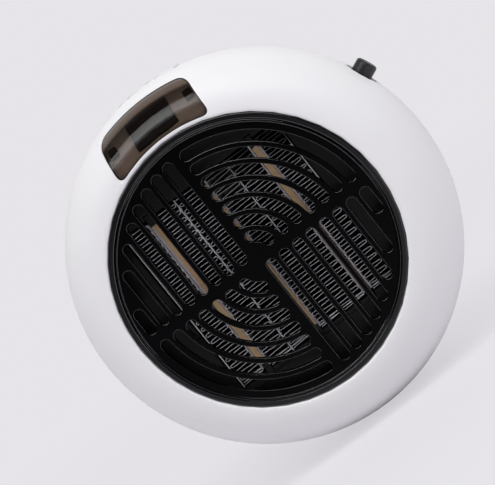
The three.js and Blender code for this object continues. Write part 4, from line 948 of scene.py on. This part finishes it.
# %% The grille's tree
def grille_tree(sizes, material):
    tree, given = start_tree("slotted_disc", sizes)
    half = add_node(tree, MATH, given["Slot Width"], 0.5, operation="MULTIPLY")
    low = add_node(tree, MATH, given["Rib Half"], half, operation="ADD")
    depth = add_node(tree, MATH, given["Thickness"], 2 * OVER, operation="ADD")
    end = add_node(tree, "GeometryNodeMeshCylinder", {"Vertices": 40, "Radius": half, "Depth": depth})
    straight = straight_slots(tree, given, half, low, depth, end)
    slots = add_node(tree, "GeometryNodeJoinGeometry", [straight, curved_slots(tree, given, low, depth, end)])
    turned = add_node(tree, "GeometryNodeTransform", {"Geometry": slots, "Rotation": (0, 0, math.pi)})
    full = add_node(tree, MATH, given["Thickness"], given["Rim Rise"], operation="ADD")
    inputs = {"Vertices": 256, "Radius": given["Disc Radius"], "Depth": full}
    disc = add_node(tree, "GeometryNodeMeshCylinder", inputs)
    inputs = {
        "Vertices": 256,
        "Radius": add_node(tree, MATH, given["Disc Radius"], given["Rim Width"], operation="SUBTRACT"),
        "Depth": add_node(tree, MATH, given["Rim Rise"], 2.0, operation="MULTIPLY"),
    }
    dish = add_node(tree, "GeometryNodeMeshCylinder", inputs)
    high = add_node(tree, MATH, full, 0.5, operation="MULTIPLY")
    rise = add_node(tree, "ShaderNodeCombineXYZ", 0.0, 0.0, high)
    dish = add_node(tree, "GeometryNodeTransform", {"Geometry": dish, "Translation": rise})
    cutters = add_node(tree, "GeometryNodeJoinGeometry", [slots, turned, dish])
    cutters = add_node(tree, "GeometryNodeRealizeInstances", cutters)
    inputs = {"Mesh 1": disc, "Mesh 2": cutters, "Self Intersection": True}
    cut = add_node(tree, "GeometryNodeMeshBoolean", inputs, operation="DIFFERENCE", solver="EXACT")
    middle_y = GRILLE_REAR_Y - (sizes["Thickness"] + sizes["Rim Rise"]) / 2
    inputs = {"Geometry": cut, "Translation": (0, middle_y, 0), "Rotation": (math.pi / 2, 0, 0)}
    end_tree(tree, add_node(tree, "GeometryNodeTransform", inputs), material)
    return tree


# %% The grille
CUT_MERGE, CUT_FLAT, CUT_SHARP = 0.02 * MM, math.radians(0.4), math.radians(50)
ROUND_BEFORE_Y = -75.0 * MM
SLOT_ROUND, SLOT_ROUND_STEPS = 0.2 * MM, 5
GLOSS_LEAST, GLOSS_MOST = 0.8, 0.96


def round_front(mesh):
    """Cleans what the cutting left, then rounds the slots' sharp edges at the front."""
    work = bmesh.new()
    work.from_mesh(mesh)
    bmesh.ops.triangulate(work, faces=work.faces)
    bmesh.ops.remove_doubles(work, verts=work.verts, dist=CUT_MERGE)
    bmesh.ops.dissolve_limit(work, angle_limit=CUT_FLAT, verts=work.verts, edges=work.edges)
    edges = [edge for edge in work.edges if all(vert.co.y < ROUND_BEFORE_Y for vert in edge.verts)]
    edges = [edge for edge in edges if len(edge.link_faces) == 2]
    sharp = [edge for edge in edges if edge.calc_face_angle(0.0) > CUT_SHARP]
    shape = {"offset": SLOT_ROUND, "segments": SLOT_ROUND_STEPS, "profile": 0.5, "affect": "EDGES"}
    bmesh.ops.bevel(work, geom=sharp, clamp_overlap=False, **shape)
    return to_mesh(work, mesh.name)


def gloss_edges(piece):
    """Gives the bright edge finish to the rounded edges that lie between the front face and the walls."""
    mesh = piece.data
    mesh.materials.append(finish["black_edge"])
    found = [face for face in mesh.polygons if GLOSS_LEAST < -face.normal.y < GLOSS_MOST]
    for face in found:
        face.material_index = 1
    print(piece.name, "has", len(found), "bright faces")


grille_mesh = grow(grille_tree(GRILLE, finish["black_plastic"]), GRILLE, "front_grille_fine")
gloss_edges(stand_in(round_front(grille_mesh), "front_grille", sharp_degrees=50.0))

# %% [markdown]
# ## The folded fins
# Between the strips stands aluminium foil, folded to and fro some fifty times a bank, so that the fan's air
# is warmed on its way out. The legs are nearly parallel and turn in tight round folds, and the last folds
# at the lower end are pressed together. That follows a rule too: a tree lays the points of the fold, rounds
# them, gives them depth with a slight skew, which keeps the eye from looking through the core, and shifts
# each leg a little, because pressed foil is never quite even.

# %% Sizes of the fins
FINS = {
    "Span": 9.5 * MM,
    "Half Height": 34.1 * MM,
    "Legs": 48,
    "Pressed Legs": 2,
    "Pressed Pitch": 0.5 * MM,
    "Depth": 14.8 * MM,
    "Skew": 1.1 * MM,
    "Fold Radius": 0.46 * MM,
    "Lean": 0.45 * MM,
    "Jitter": 0.3 * MM,
    "Seed": 1,
}
FOIL = 0.2 * MM
PLATE = 0.55 * MM
PLATE_HALF_HEIGHT = 33.7 * MM
BANKS = range(1, 7)
LEGS_OF_BANK = (50, 48, 48, 47, 48, 50)
CLEAR = 0.05 * MM


# %% The fins' tree
def fold_height(tree, given, number):
    """How high each point of the fold lies: steady steps, but pressed together at the lower end."""
    leg = add_node(tree, MATH, number, 0.5, operation="MULTIPLY")
    leg = add_node(tree, MATH, leg, operation="FLOOR")
    most = add_node(tree, MATH, given["Legs"], 1.0, operation="SUBTRACT")
    free = add_node(tree, MATH, most, given["Pressed Legs"], operation="SUBTRACT")
    height = add_node(tree, MATH, given["Half Height"], 2.0, operation="MULTIPLY")
    step = add_node(tree, MATH, height, free, operation="DIVIDE")
    after = add_node(tree, MATH, leg, given["Pressed Legs"], operation="SUBTRACT")
    spaced = add_node(tree, MATH, after, step, operation="MULTIPLY")
    pressed = add_node(tree, MATH, leg, given["Pressed Pitch"], operation="MULTIPLY")
    above = add_node(tree, MATH, spaced, pressed, operation="MAXIMUM")
    height = add_node(tree, MATH, above, given["Half Height"], operation="SUBTRACT")
    is_end = add_node(tree, MATH, number, 2.0, operation="MODULO")
    lean = add_node(tree, MATH, is_end, 0.5, operation="SUBTRACT")
    height = add_node(tree, MATH, lean, given["Lean"], height, operation="MULTIPLY_ADD")
    inputs = {"Min": -0.5, "Max": 0.5, "ID": leg, "Seed": given["Seed"]}
    random = add_node(tree, "FunctionNodeRandomValue", inputs, out=1, data_type="FLOAT")
    return add_node(tree, MATH, random, given["Jitter"], height, operation="MULTIPLY_ADD")


def fin_tree(sizes, material):
    tree, given = start_tree("folded_foil", sizes)
    number = add_node(tree, "GeometryNodeInputIndex")
    turn = add_node(tree, MATH, number, 0.5, 0.5, operation="MULTIPLY_ADD")
    turn = add_node(tree, MATH, turn, operation="FLOOR")
    side = add_node(tree, MATH, turn, 2.0, operation="MODULO")
    across = add_node(tree, MATH, side, given["Span"], operation="MULTIPLY")
    height = fold_height(tree, given, number)
    points = add_node(tree, MATH, given["Legs"], 2.0, operation="MULTIPLY")
    inputs = {"Count": points, "Offset": (0.0, 0.0, 0.0)}
    line = add_node(tree, "GeometryNodeMeshLine", inputs, mode="OFFSET")
    place = add_node(tree, "ShaderNodeCombineXYZ", across, 0.0, height)
    folded = add_node(tree, "GeometryNodeSetPosition", {"Geometry": line, "Position": place})
    ribbon = add_node(tree, "GeometryNodeMeshToCurve", {"Mesh": folded})
    inputs = {"Curve": ribbon, "Count": 4, "Radius": given["Fold Radius"], "Limit Radius": True}
    rounded = add_node(tree, "GeometryNodeFilletCurve", inputs, mode="POLY")
    edges = add_node(tree, "GeometryNodeCurveToMesh", {"Curve": rounded})
    inwards = add_node(tree, "ShaderNodeCombineXYZ", 0.0, given["Depth"], given["Skew"])
    inputs = {"Mesh": edges, "Offset": inwards, "Offset Scale": 1.0}
    end_tree(tree, add_node(tree, "GeometryNodeExtrudeMesh", inputs, mode="EDGES"), material)
    return tree


fins = fin_tree(FINS, finish["cut_foil"])


# %% Six banks of fins
def fin_bank(number):
    node = "fin_bank_%d" % number
    low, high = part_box(node)
    plate_on_right = number % 2 == 1
    left = low[0] + (0 if plate_on_right else PLATE) + FOIL / 2
    span = high[0] - low[0] - PLATE - FOIL
    sizes = dict(FINS, Span=span, Seed=number, Legs=LEGS_OF_BANK[number - 1])
    mesh = modified(grow(fins, sizes, node + "_folds"), "SOLIDIFY", thickness=FOIL, offset=0.0)
    mesh.transform(Matrix.Translation(Vector((left, low[1] + CLEAR, 0))))
    stand_in(mesh, node, node + "_folds", "cut_foil", sharp_degrees=60.0)


for number in BANKS:
    fin_bank(number)

# %% [markdown]
# ## Plates, wraps and frames of the core
# Each heating strip is a row of ceramic stones in a tan film, held between two aluminium plates. The fins
# are glued to the plates. The film lies a little behind the plates' edges, so a silver line runs on each
# side of a tan band. The band ends before the plates do, where the strip enters the dark resin of the
# frame.

# %% Boxes with rounded edges
SHEET_EDGE = 0.08 * MM


def box_mesh(name, low, high, width=0.0, segments=2):
    work = bmesh.new()
    bmesh.ops.create_cube(work, size=1.0)
    for vert in work.verts:
        vert.co = Vector([lo if c < 0 else hi for lo, hi, c in zip(low, high, vert.co)])
    if width:
        edges = work.edges[:]
        bmesh.ops.bevel(work, geom=edges, offset=width, segments=segments, profile=0.5, affect="EDGES")
    return to_mesh(work, name)


# %% Plates
def plate(number):
    low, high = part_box("fin_bank_%d" % number)
    left = high[0] - PLATE if number % 2 == 1 else low[0]
    near = (left, low[1] + CLEAR, -PLATE_HALF_HEIGHT)
    far = (left + PLATE, high[1] - CLEAR, PLATE_HALF_HEIGHT)
    return box_mesh("plate", near, far, SHEET_EDGE)


ride_along([plate(number) for number in BANKS], "core_plates", "aluminium", "glued_plate")

# %% Wrapped strips
STONES_HALF_HEIGHT = 32.2 * MM
WRAP_BEHIND = 0.3 * MM


def strip_end(low, high, tip):
    """The stretch of a strip between its last stone and its tip, drawn in a little on all sides."""
    bottom, top = sorted((tip, math.copysign(STONES_HALF_HEIGHT, tip)))
    near = (low[0] + CLEAR, low[1] + 2 * WRAP_BEHIND, bottom)
    far = (high[0] - CLEAR, high[1] - 2 * WRAP_BEHIND, top)
    return box_mesh("end", near, far, width=0.2 * MM)


def wrapped_strip(number):
    node = "ptc_strip_%d" % number
    low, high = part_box(node)
    near = (low[0], low[1] + WRAP_BEHIND, -STONES_HALF_HEIGHT)
    far = (high[0], high[1] - WRAP_BEHIND, STONES_HALF_HEIGHT)
    wrap = box_mesh(node + "_wrap", near, far, width=0.3 * MM, segments=3)
    stand_in(wrap, node, node + "_wrap", "smeared_wrap" if number == 1 else None)
    ends = [strip_end(low, high, tip) for tip in (low[2], high[2])]
    ride_along(ends, node + "_ends", "brown_resin")


for number in (1, 2, 3):
    wrapped_strip(number)

# %% [markdown]
# ## Beads of adhesive
# White silicone holds the foil to the left divider and the plates, and oozes out in small beads, uneven in
# size and place. A tree strews them along a line with a fixed seed, so they lie the same each time.

# %% The beads' tree
BEADS = {
    "Half Height": 33.4 * MM,
    "Count": 150,
    "Bead Radius": 0.2 * MM,
    "Scatter": 0.8 * MM,
    "Seed": 5,
}


def bead_tree(sizes, material):
    tree, given = start_tree("adhesive_beads", sizes)
    low = add_node(tree, MATH, given["Half Height"], -1.0, operation="MULTIPLY")
    height = add_node(tree, MATH, given["Half Height"], 2.0, operation="MULTIPLY")
    step = add_node(tree, MATH, height, given["Count"], operation="DIVIDE")
    inputs = {
        "Count": given["Count"],
        "Start Location": add_node(tree, "ShaderNodeCombineXYZ", 0.0, 0.0, low),
        "Offset": add_node(tree, "ShaderNodeCombineXYZ", 0.0, 0.0, step),
    }
    line = add_node(tree, "GeometryNodeMeshLine", inputs, mode="OFFSET")
    inputs = {"Min": (-0.5, -0.2, -0.5), "Max": (0.5, 0.2, 0.5), "Seed": given["Seed"]}
    astray = add_node(tree, "FunctionNodeRandomValue", inputs, data_type="FLOAT_VECTOR")
    offset = add_node(tree, VECTOR_MATH, astray, {"Scale": given["Scatter"]}, operation="SCALE")
    inputs = {"Radius": given["Bead Radius"], "Subdivisions": 2}
    bead = add_node(tree, "GeometryNodeMeshIcoSphere", inputs)
    other_seed = add_node(tree, MATH, given["Seed"], 1.0, operation="ADD")
    inputs = {"Min": (0.4, 0.4, 0.6), "Max": (1.3, 1.1, 2.6), "Seed": other_seed}
    girth = add_node(tree, "FunctionNodeRandomValue", inputs, data_type="FLOAT_VECTOR")
    end_tree(tree, placed(tree, line, bead, offset, {"Scale": girth}), material)
    return tree


bead_maker = bead_tree(BEADS, finish["silicone"])
THIN_ROW = {"Count": 110, "Bead Radius": 0.15 * MM, "Scatter": 0.4 * MM}
ROW_BEHIND, THIN_ROW_BEHIND = 0.15 * MM, 0.2 * MM
PLATE_ROWS = ((11, "ptc_strip_1", 0), (12, "ptc_strip_2", 1), (13, "ptc_strip_3", 1))


# %% Beads along the left divider and the plates
def bead_row(x, y, sizes):
    mesh = grow(bead_maker, sizes, "bead_row_%d" % sizes["Seed"])
    mesh.transform(Matrix.Translation(Vector((x, y, 0))))
    return mesh


divider_low, divider_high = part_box("core_divider_1")
front_y = divider_low[1]
rows = [bead_row((divider_low[0] + divider_high[0]) / 2, front_y + ROW_BEHIND, BEADS)]
for seed, node, side in PLATE_ROWS:
    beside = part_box(node)[side][0] + PLATE * (2 * side - 1)
    rows.append(bead_row(beside, front_y + THIN_ROW_BEHIND, {**BEADS, **THIN_ROW, "Seed": seed}))
ride_along(rows, "adhesive_beads", "ceramic", "silicone")

# %% [markdown]
# The dividers and side plates are plain thin sheet, whose cut edges are rounded just enough to catch the
# light. The frames, the duct, the motor and the baffle keep the model's shape and get a soft edge.

# %% Dividers, side plates and frames
SHEET = 0.45 * MM
FRAME_ROUND_MM = 0.3
for node in ("core_divider_1", "core_divider_2", "core_side_plate_1", "core_side_plate_2"):
    low, high = (Vector(corner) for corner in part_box(node))
    middle = (low[0] + high[0]) / 2
    low[0], high[0] = middle - SHEET / 2, middle + SHEET / 2
    stand_in(box_mesh(node + "_sheet", low, high, SHEET_EDGE), node, node + "_sheet", "cut_foil")
for node in ("core_frame_top", "core_frame_bottom", "air_duct", "motor_mount", "fan_motor"):
    finer(node, FRAME_ROUND_MM)
finer("front_baffle", FRAME_ROUND_MM, look="baffle_grey")

# %% [markdown]
# ## The trim ring
# A glossy black ring lines the opening between the shell's lip and the grille. It is a turned shape: its
# section goes once round the axis, and the corners get a round wide enough to hold a thin line of light.

# %% Trim ring
RING_INNER, RING_OUTER = 51.3, 53.35
RING_BEHIND = 0.1
RING_ROUNDS = (0.32, 0.3, 0.3, 0.3)
ROUND_STEPS, RING_STEPS = 5, 192


def rounded_section(corners, radii):
    """Rounds the corners of a closed section, each by its own radius."""
    done = []
    for index, (corner, radius) in enumerate(zip(corners, radii)):
        here = Vector(corner)
        to_last = (Vector(corners[index - 1]) - here).normalized()
        to_next = (Vector(corners[(index + 1) % len(corners)]) - here).normalized()
        half = to_last.angle(to_next) / 2
        reach = radius / math.tan(half)
        start, end = here + to_last * reach, here + to_next * reach
        centre = here + (to_last + to_next).normalized() * radius / math.sin(half)
        for step in range(ROUND_STEPS + 1):
            towards = (start - centre).lerp(end - centre, step / ROUND_STEPS).normalized()
            done.append(tuple(centre + towards * radius))
    return done


near_y, far_y = (corner[1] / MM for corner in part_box("grille_ring"))
near_y += RING_BEHIND
ring_corners = [(RING_INNER, near_y), (RING_OUTER, near_y), (RING_OUTER, far_y), (RING_INNER, far_y)]
ring_section = rounded_section(ring_corners, RING_ROUNDS)
ring_turns = [2 * math.pi * step / RING_STEPS for step in range(RING_STEPS)]
ring_mesh = swept("grille_ring_fine", ring_section, ring_turns, closed=True)
gloss_edges(stand_in(ring_mesh, "grille_ring", sharp_degrees=60.0))

# %% [markdown]
# ## Under the window
# A display module sits in a brown tray under the smoked window. A dark sheet fills the gap round the window
# as painted shade, standing for the gap's shadow; two clips hold its short ends, and the tray's flange closes
# the view past them. The model has no part for these, so they are made here and ride on the housing. The
# dark sheet and the flange are walls along the skin. The clips are boxes, built flat in a frame of their own
# and then laid onto the chord of the window, which leans.

# %% Under the window
CHORD_TILT = math.radians(34.9)
CHORD_Y, CHORD_Z = -70.73, 62.7
FLOOR_DEPTH = 3.2
# Depths of the dark sheet in the window's gap, which is painted shade for the gap's shadow.
GAP_SHADE_DEPTH, GAP_SHADE_REST = 0.3, 1.6
GAP_SHADE_CLEAR = 0.02
CLIP_X = 17.3
FLANGE_DEPTH, FLANGE_REST, FLANGE_WIDER, FLANGE_END_Y = 2.5, 3.2, 2.6, -58.0
BOARD_INNER, BOARD_BELOW = 50.0, 3.7


def chord_box(name, low, high, width=0.0):
    """A box in the display's own frame, with Y going in and the window's chord at zero."""
    mesh = box_mesh(name, [v * MM for v in low], [v * MM for v in high], width * MM)
    mesh.transform(Matrix.Rotation(-CHORD_TILT, 4, "X"))
    mesh.transform(Matrix.Translation(Vector((0.0, CHORD_Y, CHORD_Z)) * MM))
    return mesh


# Painted shade: a dark sheet in the gap round the window.
gap_shade_wall = skin_sheet("gap_shade_wall", SHEET_START, GAP_SHADE_DEPTH, GAP_SHADE_REST)
gap_shade_wall = in_outline(gap_shade_wall, WINDOW_GAP - GAP_SHADE_CLEAR)
gap_shade = cut_mesh(gap_shade_wall, slab(window_outline(GAP_SHADE_CLEAR), WIDEST_Y))
ride_along([gap_shade], "window_gap_shade", "black_plastic", "brown_resin")

clips = []
for middle in (-CLIP_X, CLIP_X):
    clips.append(chord_box("clip_foot", (middle - 1.7, 1.5, -2.1), (middle + 1.7, 3.1, 2.1), 0.3))
    clips.append(chord_box("clip_leg", (middle - 1.1, 3.1, -1.7), (middle + 1.1, 5.0, 1.7), 0.2))
ride_along(clips, "window_clips", "black_plastic")

above_floor = chord_box("above_floor", (-40.0, -20.0, -30.0), (40.0, FLOOR_DEPTH, 30.0))
flange_wall = skin_sheet("flange_wall", WINDOW_INNER, FLANGE_DEPTH, FLANGE_REST)
flange_wall = in_outline(flange_wall, FLANGE_WIDER, FLANGE_END_Y)
ride_along([cut_mesh(flange_wall, above_floor)], "tray_flange", "tray_brown")

board_mesh = to_mesh(merged_copy("display_board"), "display_board_fine")
board_mesh = cut_mesh(board_mesh, skin_sheet("near_skin", BOARD_INNER, 0.0, BOARD_BELOW))
stand_in(round_edges(board_mesh, 0.1), "display_board")

# %% [markdown]
# ## Keys, button, plug and inner parts
# The parts that are left are the model's own shapes with their sharp edges rounded, each by what its mould
# or its press would leave, in millimetres. Only the screws, the shaft and the leads stay as the model has
# them.

# %% Rounded parts
ROUNDS = {
    "display_tray": 0.4, "led_module": 0.25,
    "power_button": 0.6, "power_bushing": 0.5, "power_switch": 0.3,
    "key_board": 0.1, "tact_switch_left": 0.2, "tact_switch_middle": 0.2, "tact_switch_right": 0.2,
    "plug_body": 0.6, "plug_retainer": 0.3, "live_pin": 0.5, "neutral_pin": 0.5,
    "live_contact": 0.15, "neutral_contact": 0.15, "live_wiper": 0.1, "neutral_wiper": 0.1,
    "impeller": 0.25, "power_board": 0.1, "heater_relay": 0.4, "filter_capacitor": 0.6,
    "board_fuse": 0.3, "thermal_cutout": 0.3, "thermal_fuse": 0.3,
}
OTHER_LOOKS = {"power_button": "fan_black"}
for node, width_mm in ROUNDS.items():
    finer(node, width_mm, segments=3, look=OTHER_LOOKS.get(node))
